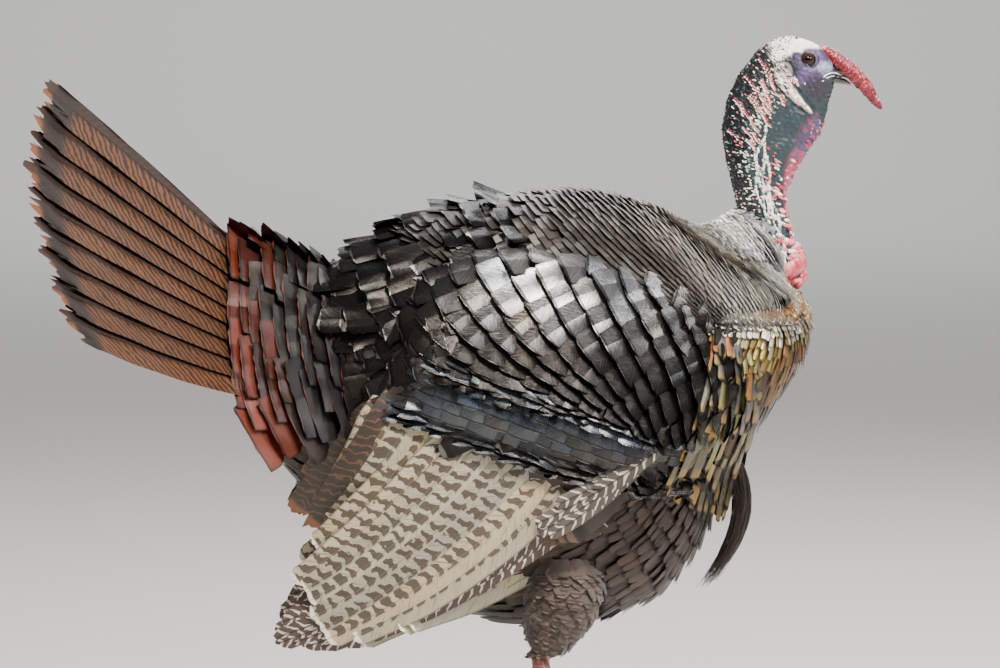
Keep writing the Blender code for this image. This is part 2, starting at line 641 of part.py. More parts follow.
def add_wings(shop):
    """Each folded wing hangs a little open: shoulder and lesser coverts, greater coverts,
    secondaries, primaries and alula, each sheet under the one before."""
    wing_sheet(
        shop, "wing_shoulder",
        upper=((0.270, 0.478), (0.232, 0.520), (0.185, 0.545), (0.135, 0.562), (0.085, 0.572),
               (0.035, 0.572), (-0.010, 0.556), (-0.045, 0.515)),
        lower=((0.276, 0.440), (0.250, 0.402), (0.196, 0.380), (0.135, 0.388), (0.084, 0.402),
               (0.035, 0.412), (-0.008, 0.425), (-0.050, 0.450)),
        depth=0.0, thickness=0.021, slot="bronze_feather", columns=13, rows=7, belly=0.011)
    wing_sheet(
        shop, "wing_greater_coverts",
        upper=((0.215, 0.425), (0.160, 0.430), (0.100, 0.435), (0.040, 0.440), (-0.020, 0.450),
               (-0.062, 0.475)),
        lower=((0.150, 0.300), (0.105, 0.290), (0.060, 0.310), (0.015, 0.340), (-0.040, 0.365),
               (-0.085, 0.395)),
        depth=0.0248, thickness=0.0030, slot="bronze_feather", columns=11)
    wing_sheet(
        shop, "wing_secondaries",
        upper=((0.140, 0.350), (0.100, 0.372), (0.060, 0.390), (0.015, 0.405), (-0.030, 0.425),
               (-0.068, 0.450)),
        lower=((-0.045, 0.232), (-0.085, 0.215), (-0.120, 0.214), (-0.140, 0.245), (-0.135, 0.290),
               (-0.115, 0.345)),
        depth=0.0288, thickness=0.0020, slot="barred_quill", columns=11)
    wing_sheet(
        shop, "wing_primaries",
        upper=((0.178, 0.330), (0.165, 0.345), (0.145, 0.355), (0.120, 0.360)),
        lower=((-0.120, 0.200), (-0.150, 0.202), (-0.175, 0.208), (-0.160, 0.228)),
        depth=0.0340, thickness=0.0020, slot="barred_quill", columns=7)
    wing_sheet(
        shop, "wing_alula",
        upper=((0.205, 0.392), (0.190, 0.386), (0.172, 0.378)),
        lower=((0.100, 0.318), (0.092, 0.316), (0.088, 0.322)),
        depth=0.0224, thickness=0.0016, slot="barred_quill", columns=5)


def main():
    clear_scene()
    shop = Workshop()
    add_trunk(shop)
    add_neck_and_head(shop)
    add_bill(shop)
    add_snood_and_wattles(shop)
    add_beard(shop)
    add_legs(shop)
    add_tail(shop)
    add_tail_coverts(shop)
    add_wings(shop)


main()
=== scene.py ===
# Wild turkey, adult tom, as a life-size still model. The feathers are solid vanes laid over the
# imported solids, tract by tract, and the bare head, the legs and the bill are built on the same solids.
import math
from functools import partial
import bpy
import numpy as np
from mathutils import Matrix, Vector
from mathutils.bvhtree import BVHTree


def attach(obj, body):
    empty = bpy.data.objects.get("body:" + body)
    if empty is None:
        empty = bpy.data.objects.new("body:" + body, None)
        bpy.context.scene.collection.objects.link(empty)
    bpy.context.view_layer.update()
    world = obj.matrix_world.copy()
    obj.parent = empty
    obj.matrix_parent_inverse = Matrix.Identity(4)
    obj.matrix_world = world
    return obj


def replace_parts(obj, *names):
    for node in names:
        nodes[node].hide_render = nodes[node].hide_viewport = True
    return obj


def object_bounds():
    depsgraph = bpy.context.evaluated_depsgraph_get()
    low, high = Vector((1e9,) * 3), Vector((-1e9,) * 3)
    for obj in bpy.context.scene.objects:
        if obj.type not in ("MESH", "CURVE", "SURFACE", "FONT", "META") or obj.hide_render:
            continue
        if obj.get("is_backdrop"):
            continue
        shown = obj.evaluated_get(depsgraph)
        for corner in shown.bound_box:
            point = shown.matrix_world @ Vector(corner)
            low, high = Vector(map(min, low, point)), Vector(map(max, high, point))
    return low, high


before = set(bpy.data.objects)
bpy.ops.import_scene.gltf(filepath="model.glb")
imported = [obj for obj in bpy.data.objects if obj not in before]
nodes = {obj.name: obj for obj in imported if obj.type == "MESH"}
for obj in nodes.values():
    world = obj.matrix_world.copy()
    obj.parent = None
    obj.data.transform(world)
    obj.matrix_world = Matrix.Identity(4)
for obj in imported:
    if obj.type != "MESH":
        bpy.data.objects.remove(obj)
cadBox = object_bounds()
print("frame loaded:", len(nodes), "nodes")

sideNames = (("right", -1.0), ("left", 1.0))
fullTurn = 2 * math.pi


# ---- colours, node trees and meshes
def linear(hexColour):
    parts = np.array([int(hexColour[i:i + 2], 16) / 255 for i in (1, 3, 5)])
    return np.where(parts <= 0.04045, parts / 12.92, ((parts + 0.055) / 1.055) ** 2.4)


def over(base, colour, share):
    # a colour laid over another by a share; each is a hex value or an array of tints
    base, colour = (linear(c) if isinstance(c, str) else c for c in (base, colour))
    return base * (1 - share) + colour * share


def addNode(tree, kind, inputs=(), **settings):
    # kind is the node's type, and its operation where it has one; inputs go by place or by socket name,
    # and each is a value, a socket or a node, whose first output is used
    kind, _, operation = kind.partition(" ")
    node = tree.nodes.new("ShaderNode" + kind)
    if operation:
        node.operation = operation
    for key, value in settings.items():
        setattr(node, key, value)
    for key, value in inputs.items() if isinstance(inputs, dict) else enumerate(inputs):
        if isinstance(value, bpy.types.Node):
            value = value.outputs[0]
        if isinstance(value, bpy.types.NodeSocket):
            tree.links.new(value, node.inputs[key])
        else:
            node.inputs[key].default_value = value
    return node


def unit(v):
    return v / np.maximum(np.linalg.norm(v, axis=-1, keepdims=True), 1e-12)


def smoothstep(low, high, x):
    t = np.clip((x - low) / (high - low), 0, 1)
    return t * t * (3 - 2 * t)


def curveThrough(values, at):
    # Catmull-Rom curve through the values, read at places from 0 to len(values) - 1
    values = np.asarray(values, float)
    at = np.asarray(at, float)
    last = len(values) - 1
    i = np.clip(np.floor(at).astype(int), 0, last - 1)
    t = (at - i).reshape(at.shape + (1,) * (values.ndim - 1))
    p0, p1 = values[np.clip(i - 1, 0, last)], values[i]
    p2, p3 = values[i + 1], values[np.clip(i + 2, 0, last)]
    return 0.5 * (2 * p1 + (p2 - p0) * t + (2 * p0 - 5 * p1 + 4 * p2 - p3) * t**2
                  + (3 * p1 - p0 - 3 * p2 + p3) * t**3)


def evenly(points, count):
    # the same line with points at equal spacing
    points = np.asarray(points, float)
    fine = curveThrough(points, np.linspace(0, len(points) - 1, 40 * len(points)))
    run = np.concatenate([[0], np.cumsum(np.linalg.norm(np.diff(fine, axis=0), axis=1))])
    want = np.linspace(0, run[-1], count)
    return np.stack([np.interp(want, run, fine[:, k]) for k in range(fine.shape[1])], axis=1)


def sampleGrid(grid, a, b):
    # bilinear reading of a grid at fractional row a and column b
    rows, columns = grid.shape[:2]
    a = np.clip(a, 0, rows - 1.0001)
    b = np.clip(b, 0, columns - 1.0001)
    i, j = a.astype(int), b.astype(int)
    u, v = (a - i)[..., None], (b - j)[..., None]
    return ((grid[i, j] * (1 - u) + grid[i + 1, j] * u) * (1 - v)
            + (grid[i, j + 1] * (1 - u) + grid[i + 1, j + 1] * u) * v)


def softNoise(points, size, seed):
    # smooth value noise of about -1 to 1 on points of any dimension, one octave
    rng = np.random.default_rng(seed)
    total = np.zeros(points.shape[:-1])
    for _ in range(7):
        direction = unit(rng.normal(size=points.shape[-1]))
        phase, stretch = rng.uniform(0, fullTurn), rng.uniform(0.7, 1.5)
        total += np.sin(points @ direction * (fullTurn / size) * stretch + phase)
    return total / 3.2


def solidTree(names):
    points, faces, start = [], [], 0
    for name in names:
        mesh = nodes[name].data
        co = np.zeros(len(mesh.vertices) * 3)
        mesh.vertices.foreach_get("co", co)
        points += [tuple(p) for p in co.reshape(-1, 3)]
        faces += [tuple(start + i for i in polygon.vertices) for polygon in mesh.polygons]
        start = len(points)
    return BVHTree.FromPolygons(points, faces)


def castGrid(tree, starts, directions, reach=1.0):
    # first hits of rays, with the miss left as nan
    flatStarts, flatDirections = starts.reshape(-1, 3), directions.reshape(-1, 3)
    hits = np.full(flatStarts.shape, np.nan)
    for k in range(len(flatStarts)):
        place = tree.ray_cast(Vector(flatStarts[k]), Vector(flatDirections[k]), reach)[0]
        if place is not None:
            hits[k] = place
    return hits.reshape(starts.shape)


def gridNormals(grid, wrap=False):
    along = np.gradient(grid, axis=0)
    if wrap:
        across = (np.roll(grid, -1, axis=1) - np.roll(grid, 1, axis=1)) / 2
    else:
        across = np.gradient(grid, axis=1)
    return unit(np.cross(along, across))


def blurGrid(grid, times, wrap=False):
    # evens a grid out by its neighbours along both ways, with its ends kept
    for _ in range(times):
        padded = np.concatenate([grid[:1], grid, grid[-1:]], axis=0)
        rows = (padded[:-2] + 2 * padded[1:-1] + padded[2:]) / 4
        rows[0], rows[-1] = grid[0], grid[-1]
        if wrap:
            grid = (np.roll(rows, 1, axis=1) + 2 * rows + np.roll(rows, -1, axis=1)) / 4
        else:
            grid = rows.copy()
            grid[:, 1:-1] = (rows[:, :-2] + 2 * rows[:, 1:-1] + rows[:, 2:]) / 4
    return grid


def gridQuads(rows, columns, wrap=False):
    i, j = np.meshgrid(np.arange(rows - 1), np.arange(columns if wrap else columns - 1), indexing="ij")
    after = (j + 1) % columns
    quads = np.stack([i * columns + j, i * columns + after, (i + 1) * columns + after, (i + 1) * columns + j], -1)
    return quads.reshape(-1, 4)


def gridUv(rows, columns, left=0.02, low=0.02, wide=0.96, high=0.96):
    # a grid's own rectangle of the bake map
    v, u = np.meshgrid(low + high * np.linspace(0, 1, rows), left + wide * np.linspace(0, 1, columns), indexing="ij")
    return np.stack([u, v], -1)


def axisRings(axis, at, turn, names, far, near, missed=math.nan):
    # Rings of rays from far outside towards an axis, given by its back and front lines. Returns the rings'
    # middles, the directions out, and how far out the solids lie. A missed ray starts from the missed value
    # and takes the middle one of the rings near it.
    line = curveThrough(axis, at)
    back, front = line[:, :2], line[:, 2:]
    centre, up = (back + front) / 2, unit(back - front)
    out = np.stack([np.cos(turn) * up[:, :1], np.sin(turn) + 0 * up[:, :1], np.cos(turn) * up[:, 1:]], axis=-1)
    middle = np.stack([centre[:, 0], 0 * centre[:, 0], centre[:, 1]], axis=-1)[:, None]
    reach = np.linalg.norm(castGrid(solidTree(names), middle + out * far, -out, far) - middle, axis=-1)
    gaps = np.isnan(reach)
    reach[gaps] = missed
    for i, j in zip(*np.nonzero(gaps)):
        reach[i, j] = np.nanmedian(reach[max(i - near, 0):i + near + 1, j])
    return middle, out, reach


class MeshHeap:
    # gathers grids and lumps into one piece; marks are values for each point, tint has three
    def __init__(self):
        self.parts = []

    def add(self, points, quads, uv, **marks):
        points = np.reshape(points, (-1, 3))
        marks = {key: np.reshape(value, (-1, 3 if key == "tint" else 1)) for key, value in marks.items()}
        self.parts.append((points, np.reshape(quads, (-1, 4)), np.reshape(uv, (-1, 2)), marks))

    def addTube(self, grid, tint, *cell):
        # a grid closed round its rings, with one colour or a grid of tints, in its own cell of the bake map
        tint = np.broadcast_to(linear(tint) if isinstance(tint, str) else tint, grid.shape)
        self.add(grid, gridQuads(*grid.shape[:2], wrap=True), gridUv(*grid.shape[:2], *cell), tint=tint)

    def piece(self, name, material, slot):
        starts = np.cumsum([0] + [len(part[0]) for part in self.parts])
        points = np.concatenate([part[0] for part in self.parts]).astype(np.float32)
        quads = np.concatenate([part[1] + start for part, start in zip(self.parts, starts)])
        uv = np.concatenate([part[2] for part in self.parts]).astype(np.float32)
        flat = quads.reshape(-1).astype(np.int32)
        mesh = bpy.data.meshes.new(name)
        mesh.vertices.add(len(points))
        mesh.vertices.foreach_set("co", points.reshape(-1))
        mesh.loops.add(len(flat))
        mesh.loops.foreach_set("vertex_index", flat)
        mesh.polygons.add(len(quads))
        mesh.polygons.foreach_set("loop_start", np.arange(0, len(flat), 4, dtype=np.int32))
        mesh.polygons.foreach_set("use_smooth", np.ones(len(quads), bool))
        mesh.uv_layers.new(name="OFBake").data.foreach_set("uv", uv[flat].reshape(-1))
        for key in self.parts[0][3]:
            values = np.concatenate([part[3][key] for part in self.parts]).astype(np.float32)
            if values.shape[1] == 1:
                mesh.attributes.new(key, "FLOAT", "POINT").data.foreach_set("value", values[:, 0])
            else:
                colour = np.concatenate([values, np.ones((len(values), 1), np.float32)], axis=1)
                mesh.attributes.new(key, "FLOAT_COLOR", "POINT").data.foreach_set("color", colour.reshape(-1))
        mesh.update(calc_edges=True)
        mesh.validate()
        piece = bpy.data.objects.new(name, mesh)
        bpy.context.scene.collection.objects.link(piece)
        mesh.materials.append(material)
        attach(piece, "root")
        print(name + ":", len(quads), "faces")
        return piece


# what every feather starts from; lengths in metres, and each tract gives its own values below
vane = {"rows": 8, "columns": 6, "rowEase": 0.85, "columnEase": 0.75,  # faces along and across, and their spacing
        "tipRound": 0.05, "tipPower": 3.0, "tipNarrow": 0.02, "stem": 0.7, "full": 0.5,  # outline
        "camber": 0.10, "depth": 0.0085, "top": 0.0, "lift": (1, 1, 1),  # from under the coat to over it
        "fray": 0.015, "yaw": 0.02, "roll": 6.0, "ruffle": 0.0003, "ripple": 0.0, "mirror": 1,  # disorder
        "reach": 2.6, "overlap": 1.35, "square": 1.0, "headroom": 1.0, "narrowest": 0.005, "widest": 0.03,
        "longest": 0.2, "jitter": 0.10, "rowJitter": 0.05, "keep": None}
patchLow, patchSize, patchFill = 0.02, 0.96, 0.9  # a tract's part of the bake map, and a vane's share of its cell


def vaneMesh(heap, root, middle, tip, normals, width, look, seed, tint, cell):
    # root, middle and tip N x 3, normals N x 3 x 3, width N in metres, tint N x 3; cell N x 4 is the
    # patch on the skin's unwrap: centre u, centre v, width, height
    rng = np.random.default_rng(seed)
    count, rows, columns = len(root), look["rows"], look["columns"]
    u = np.linspace(-1, 1, columns + 1)
    u = np.sign(u) * np.abs(u) ** look["columnEase"]
    v, u = np.meshgrid(np.linspace(0, 1, rows + 1) ** look["rowEase"], u, indexing="ij")
    cut = look["tipRound"] * np.abs(u) ** look["tipPower"]
    a = (v * (1 - cut))[None] + look["fray"] * rng.normal(size=(count, 1, columns + 1)) * v[None] ** 6
    swell = look["stem"] + (1 - look["stem"]) * np.sin(np.clip(v / look["full"], 0, 1) * math.pi / 2)
    swell = swell * (1 - look["tipNarrow"] * smoothstep(0.7, 1.0, v))
    # a parabola through root, middle and tip, and its slope
    a3 = a[..., None]
    p0, p1, p2 = root[:, None, None], middle[:, None, None], tip[:, None, None]
    line = p0 * (2 * a3 - 1) * (a3 - 1) + p1 * 4 * a3 * (1 - a3) + p2 * a3 * (2 * a3 - 1)
    slope = p0 * (4 * a3 - 3) + p1 * (4 - 8 * a3) + p2 * (4 * a3 - 1)
    near, far = np.clip(1 - 2 * a3, 0, 1), np.clip(2 * a3 - 1, 0, 1)
    normal = unit(normals[:, None, None, 0] * near + normals[:, None, None, 1] * (1 - near - far)
                  + normals[:, None, None, 2] * far)
    side = unit(np.cross(slope, normal))
    normal = unit(np.cross(side, slope))
    roll = np.radians(look["roll"]) * rng.normal(size=(count, 1, 1, 1))
    side, normal = side * np.cos(roll) + normal * np.sin(roll), normal * np.cos(roll) - side * np.sin(roll)
    half = (width * 0.5)[:, None, None] * swell[None]
    length = np.linalg.norm(tip - root, axis=1)[:, None, None]
    rise = -look["depth"] + (look["depth"] + look["top"]) * a
    rise = rise + look["ruffle"] * rng.normal(size=(count, 1, 1)) * a
    rise = rise - look["camber"] * half * np.abs(u[None]) ** 1.8
    if look["ripple"]:
        phase = rng.uniform(0, 6.28, size=(count, 1, 1))
        rise = rise + look["ripple"] * np.sin(u[None] * 4.2 + phase) * smoothstep(0.5, 1, a)
    yaw = look["yaw"] * rng.normal(size=(count, 1, 1))
    place = line + side * (u[None] * half + yaw * length * a)[..., None] + normal * rise[..., None]
    quads = gridQuads(rows + 1, columns + 1)[None] + np.arange(count)[:, None, None] * u.size
    uv = np.stack([cell[:, 0, None, None] + u[None] * 0.5 * cell[:, 2, None, None] + 0 * a,
                   cell[:, 1, None, None] + (v[None] - 0.5) * cell[:, 3, None, None] + 0 * a], axis=-1)
    heap.add(place, quads, uv, along=a, across=u[None] * look["mirror"] + 0 * a, metresAlong=a * length,
             metresAcross=u[None] * half, tone=rng.uniform(0, 1, count)[:, None, None] + 0 * a,
             tint=np.broadcast_to(tint[:, None, None], a.shape + (3,)))


def tractVanes(name, grid, gridNormal, look, tintAt, seed, material, slot="bronze_feather"):
    # Rows of feathers over a grid of places, whose rows run the way that the feathers point. The tip of each
    # feather lies on its row, its root further up by look["reach"] rows, and every second row is shifted.
    rng = np.random.default_rng(seed)
    last, wide = grid.shape[0] - 1, grid.shape[1] - 1
    rows, (first, change) = look["tractRows"], look["tractColumns"]
    step = last / rows
    listed = []
    for r in range(1, rows + 1):
        count = int(first + change * (r / rows))
        j = (np.arange(count) + (0.5 if r % 2 else 0.0) + 0.25) / count
        j = j + rng.normal(size=count) * look["jitter"] / count
        i = np.full(count, r * step) + rng.normal(size=count) * look["rowJitter"] * step
        listed.append(np.stack([i, np.clip(j, 0, 1) * wide, np.full(count, 1.0 / count)], axis=1))
    i, j, share = np.concatenate(listed).T
    reach = look["reach"] * step
    i0 = i - reach
    tip = sampleGrid(grid, i, j)
    beside, beside2 = (sampleGrid(grid, i - reach * 0.3, np.clip(j + half * share * wide, 0, wide))
                       for half in (0.5, -0.5))
    width = np.maximum(np.linalg.norm(beside - beside2, axis=1), 1e-5)
    # each feather is turned square to its row, so that the tips of a row make one line
    lean = ((sampleGrid(grid, np.maximum(i0, 0), j) - tip) * (beside - beside2)).sum(1) / width ** 2 * share * wide
    j0 = np.clip(j - np.clip(look["square"] * lean, -0.16 * wide, 0.16 * wide), 0, wide)
    middle = sampleGrid(grid, np.maximum(i - reach / 2, 0), (j + j0) / 2)
    root = sampleGrid(grid, np.maximum(i0, 0), j0)
    # where a row starts above the grid, the feather is carried on straight
    short = np.clip(-i0, 0, None)[:, None]
    edge = sampleGrid(grid, np.zeros_like(i), j) - sampleGrid(grid, np.ones_like(i), j)
    root = root + edge * short * look["headroom"]
    middle = np.where(short > 0, (root + tip) / 2 * 0.6 + middle * 0.4, middle)
    normals = np.stack([sampleGrid(gridNormal, np.clip(i - reach * s, 0, last), j) for s in (1, 0.5, 0)], axis=1)
    width = np.clip(width * look["overlap"], look["narrowest"], look["widest"])
    width = width * (1 + 0.06 * rng.normal(size=len(width)))
    use = np.linalg.norm(tip - root, axis=1) < look["longest"]
    if look["keep"]:
        use &= look["keep"](tip)
    tint = tintAt(tip, i / last, j / wide, rng)
    top = look["top"] * np.interp(i[use] / last, (0, 0.5, 1), look["lift"])[:, None, None]
    cell = np.stack([patchLow + patchSize * (j / wide), patchLow + patchSize * np.clip((i - reach / 2) / last, 0, 1),
                     0.98 * patchFill * patchSize * share, np.full(len(i), patchFill * patchSize / rows)], axis=1)
    heap = MeshHeap()
    vaneMesh(heap, root[use], middle[use], tip[use], normals[use], width[use], dict(look, top=top), seed + 1,
             tint[use], cell[use])
    return heap.piece(name, material, slot)


# ---- materials
def newMaterial(name, shader):
    # shader holds the values of the Principled sockets that are the same all over
    material = bpy.data.materials.new(name)
    material.use_nodes = True
    tree = material.node_tree
    principled = tree.nodes["Principled BSDF"]
    for key, value in shader.items():
        principled.inputs[key].default_value = value
    return material, tree, principled


def featherMaterial(name, look):
    # Keratin vanes: the ground colour is the feather's tint, painted light and shade included where a tract holds them;
    # bars, dark bands, rims of painted shade and the painted shadow under a lapping neighbour go by the place along and
    # across it, and fine barbs slant out from the shaft.
    material, tree, principled = newMaterial(name, look["shader"])
    add = partial(addNode, tree)
    along, across, tone, run, aside = (add("Attribute", attribute_name=key).outputs["Fac"] for key in (
        "along", "across", "tone", "metresAlong", "metresAcross"))
    colour = add("Attribute", attribute_name="tint").outputs["Color"]
    offset, spread = add("Math ABSOLUTE", [aside]), add("Math ABSOLUTE", [across])
    # real barbs stand 0.4 mm apart; these are 1.2 mm, the finest that shows
    slant = add("Math SUBTRACT", [run, add("Math MULTIPLY", [offset, 1.1])])
    barb = add("Math SINE", [add("Math MULTIPLY", [slant, fullTurn / 0.0012])])
    # grain runs along the barbs, about 1 mm wide; clouds are about 11 mm wide
    grain, cloud = (add("TexNoise", {"Vector": add("CombineXYZ", [add("Math MULTIPLY", pair) for pair in pairs]),
                                     "Scale": 1.0, "Detail": detail}) for pairs, detail in (
        (((slant, 900.0), (aside, 70.0), (tone, 91.0)), 3.0), (((run, 90.0), (aside, 90.0), (tone, 57.0)), 2.0)))
    drift = add("Math SUBTRACT", [cloud, 0.5])
    shifted = add("Math ADD", [along, add("Math MULTIPLY", [drift, look["waver"]])])
    layers = []  # strength, colour, and the edges whose product is the layer's mask
    if "bars" in look:
        bars = look["bars"]
        bent = add("Math MULTIPLY_ADD", [offset, bars["chevron"], run])
        bent = add("Math MULTIPLY_ADD", [drift, bars["spacing"] * bars["wobble"], bent])
        turn = add("Math SINE", [add("Math MULTIPLY", [bent, fullTurn / bars["spacing"]])])
        # a tapering bar is an arrowhead: widest at the shaft and gone at the vane's edge
        turn = add("Math MULTIPLY_ADD", [spread, -bars.get("taper", 0.0), turn])
        layers.append((bars["strength"], bars["colour"], (turn, bars["from"], bars["to"]),
                       (across, *bars.get("side", (-3, -2)))))
    if "streaks" in look:
        # fine freckled streaks along the barbs
        layers.append((*look["streaks"], (grain, 0.52, 0.66)))
    for strength, bandColour, start, end, soft in look.get("bands", ()):
        layers.append((strength, bandColour, (shifted, start, start + soft), (shifted, end + soft, end)))
    # painted shade: a darker rim along the vane's sides, where its neighbours meet it
    if "edge" in look:
        layers.append((*look["edge"][:2], (spread, look["edge"][2], 1.0)))
    if "shaft" in look:
        width = look["shaft"][2]
        layers.append((*look["shaft"][:2], (offset, width, width * 0.4)))
    if "lapShadow" in look:
        # painted shadow: the web that its neighbour overlaps is painted darker, out to the shaft, for the shadow that
        # the neighbour casts
        layers.append((*look["lapShadow"][:2], (across, *look["lapShadow"][2:])))
    for strength, layerColour, *edges in layers:
        mask = strength
        for x, low, high in edges:
            rise = add("MapRange", {"Value": x, "From Min": low, "From Max": high}, interpolation_type="SMOOTHSTEP")
            mask = add("Math MULTIPLY", [rise, mask])
        colour = add("Mix", {0: mask, 6: colour, 7: (*linear(layerColour), 1)}, data_type="RGBA").outputs[2]
    # uneven light and dark between feathers and along the barbs
    shade = add("Math MULTIPLY_ADD", [tone, look["uneven"], 1 - look["uneven"] / 2])
    shade = add("Math MULTIPLY_ADD", [add("Math SUBTRACT", [grain, 0.5]), look["grain"], shade])
    height = add("Math MULTIPLY_ADD", [barb, 0.35, grain])
    for socket, node in (
            ("Base Color", add("VectorMath SCALE", {0: colour, "Scale": shade})),
            ("Roughness", add("Math MULTIPLY_ADD", [grain, 0.2, look["shader"]["Roughness"] - 0.1])),
            ("Normal", add("Bump", {"Height": height, "Strength": 0.35, "Distance": 0.0006}))):
        tree.links.new(node.outputs[0], principled.inputs[socket])
    return material


# bands are (strength, colour, start, end, softness) along the vane, edge (strength, colour, start), a painted shade,
# shaft (strength, colour, half width in metres), lapShadow (strength, colour, end, start), a painted shadow, and
# streaks (strength, colour)
bronzeFeather = featherMaterial("bronzeFeather", {
    # body contour feathers: melanin keratin with a metallic interference sheen and a black velvet tip band
    "shader": {"Metallic": 0.78, "Roughness": 0.25, "Specular IOR Level": 0.8},
    "bands": ((0.85, "#0c0b0a", 0.925, 1.2, 0.03), (0.7, "#6d6a66", 0.980, 1.2, 0.01)),
    "edge": (0.40, "#15120f", 0.80), "uneven": 0.30, "grain": 0.75, "waver": 0.02})
goldFeather = featherMaterial("goldFeather", {
    # breast and shoulder feathers: a ground from silver, a painted highlight, to gold, copper before a narrow black tip
    "shader": {"Metallic": 0.66, "Roughness": 0.34, "Specular IOR Level": 0.6},
    "bands": ((0.9, "#0d0b09", 0.955, 1.2, 0.02),),
    "edge": (0.6, "#14110d", 0.72), "uneven": 0.45, "grain": 0.55, "waver": 0.03})
goldTippedFeather = featherMaterial("goldTippedFeather", {
    # feathers before the wing: dark strands with a gold end and a narrow black tip
    "shader": {"Metallic": 0.6, "Roughness": 0.34, "Specular IOR Level": 0.6},
    "bands": ((0.60, "#8f7434", 0.80, 0.945, 0.10), (0.9, "#0d0b09", 0.945, 1.2, 0.02)),
    "edge": (0.75, "#0f0d0b", 0.66), "uneven": 0.45, "grain": 0.55, "waver": 0.05})
mantleFeather = featherMaterial("mantleFeather", {
    # narrow cape feathers, matte brown-grey with a fine black edge
    "shader": {"Metallic": 0.30, "Roughness": 0.38, "Specular IOR Level": 0.8},
    "bands": ((0.35, "#1c1917", 0.93, 1.2, 0.03),),
    "edge": (0.60, "#13100e", 0.76), "uneven": 0.50, "grain": 0.6, "waver": 0.02})
covertFeather = featherMaterial("rustCovertFeather", {
    # upper tail coverts: matte chestnut with a narrow black bar and a copper rim
    "shader": {"Metallic": 0.25, "Roughness": 0.38, "Specular IOR Level": 0.5},
    "bands": ((1.0, "#0b0807", 0.90, 0.965, 0.012), (1.0, "#5a2413", 0.975, 1.2, 0.01)),
    "edge": (0.8, "#0d0a09", 0.90), "uneven": 0.45, "grain": 0.9, "waver": 0.03})
tailQuill = featherMaterial("barredTailQuill", {
    # tail feathers: matte chestnut, wavy black bars 8 mm apart, a blackish band and a rust tip
    "shader": {"Metallic": 0.0, "Roughness": 0.7, "Specular IOR Level": 0.25},
    "bars": {"spacing": 0.0082, "from": -0.15, "to": 0.4, "colour": "#160b08", "strength": 0.92,
             "chevron": 0.7, "wobble": 1.3},
    "bands": ((0.9, "#15100e", 0.855, 0.935, 0.04), (1.0, "#6a3b1e", 0.945, 1.2, 0.02)),
    # painted shadow of the neighbouring feather over the overlapped web
    "lapShadow": (0.88, "#1d110c", 0.32, -0.15), "shaft": (0.9, "#2b1a12", 0.0016),
    "uneven": 0.25, "grain": 0.5, "waver": 0.02})
barredQuill = featherMaterial("barredWingQuill", {
    # secondaries: chalky vanes with brown arrowheads on one side of a thin dark shaft
    "shader": {"Metallic": 0.0, "Roughness": 0.6},
    "bars": {"spacing": 0.0142, "from": -0.50, "to": -0.25, "colour": "#2c1e16", "strength": 0.90,
             "chevron": -0.5, "wobble": 1.4, "taper": 1.3, "side": (-0.28, -0.12)},
    "streaks": (0.65, "#5b4a3a"), "shaft": (0.5, "#6d5c48", 0.0009), "edge": (0.75, "#4a3c2e", 0.84),
    "bands": ((1.0, "#e9e2d4", 0.975, 1.2, 0.01),), "uneven": 0.3, "grain": 0.35, "waver": 0.02})
slashedQuill = featherMaterial("slashedWingQuill", {
    # primaries and alula: dark brown vanes cut by narrow white slashes
    "shader": {"Metallic": 0.08, "Roughness": 0.5},
    "bars": {"spacing": 0.0115, "from": 0.25, "to": 0.50, "colour": "#d3cabd", "strength": 0.9,
             "chevron": -1.1, "wobble": 1.1, "taper": 0.6},
    "streaks": (0.6, "#2a211c"), "shaft": (0.8, "#1c1512", 0.0012), "uneven": 0.2, "grain": 0.4, "waver": 0.02})
darkTertial = featherMaterial("darkTertial", {
    # innermost secondaries: dark vanes with fine rust bars and a rust tip
    "shader": {"Metallic": 0.3, "Roughness": 0.46},
    "bars": {"spacing": 0.010, "from": 0.5, "to": 0.9, "colour": "#7a5238", "strength": 0.5, "chevron": -0.6,
             "wobble": 1.6},
    "streaks": (0.6, "#1b1512"), "bands": ((0.8, "#8a5638", 0.93, 1.2, 0.03),),
    "uneven": 0.3, "grain": 0.5, "waver": 0.05})
downFeather = featherMaterial("downyFeather", {
    # soft loose-barbed feathers of thigh, belly and vent
    "shader": {"Metallic": 0.12, "Roughness": 0.68, "Sheen Weight": 0.25},
    "bands": ((0.8, "#17110e", 0.80, 0.90, 0.05), (0.8, "#6b5340", 0.93, 1.2, 0.03)),
    "uneven": 0.4, "grain": 0.6, "waver": 0.08})


def tintedMaterial(name, look):
    # The piece's own tint, mottled by a noise whose light and dark also raise the surface; look holds the
    # noise's scales along X, Y and Z, its contrast, and the strength and depth of the bump.
    material, tree, principled = newMaterial(name, look["shader"])
    add = partial(addNode, tree)
    tint = add("Attribute", attribute_name="tint").outputs["Color"]
    place = add("TexCoord").outputs["Object"]
    mottle = add("TexNoise", {"Vector": add("VectorMath MULTIPLY", [place, look["mottle"]]), "Scale": 1.0,
                              "Detail": 4.0, "Roughness": look.get("rough", 0.5)})
    shade = add("Math MULTIPLY_ADD", [mottle, look["contrast"], 1 - look["contrast"] / 2])
    height = mottle
    if "pores" in look:
        pores = add("TexVoronoi", {"Vector": place, "Scale": look["pores"]})
        height = add("Math MULTIPLY_ADD", [pores.outputs["Distance"], 0.6, mottle])
    strength, depth = look["bump"]
    for socket, node in (("Base Color", add("VectorMath SCALE", {0: tint, "Scale": shade})),
                         ("Normal", add("Bump", {"Height": height, "Strength": strength, "Distance": depth}))):
        tree.links.new(node.outputs[0], principled.inputs[socket])
    return material


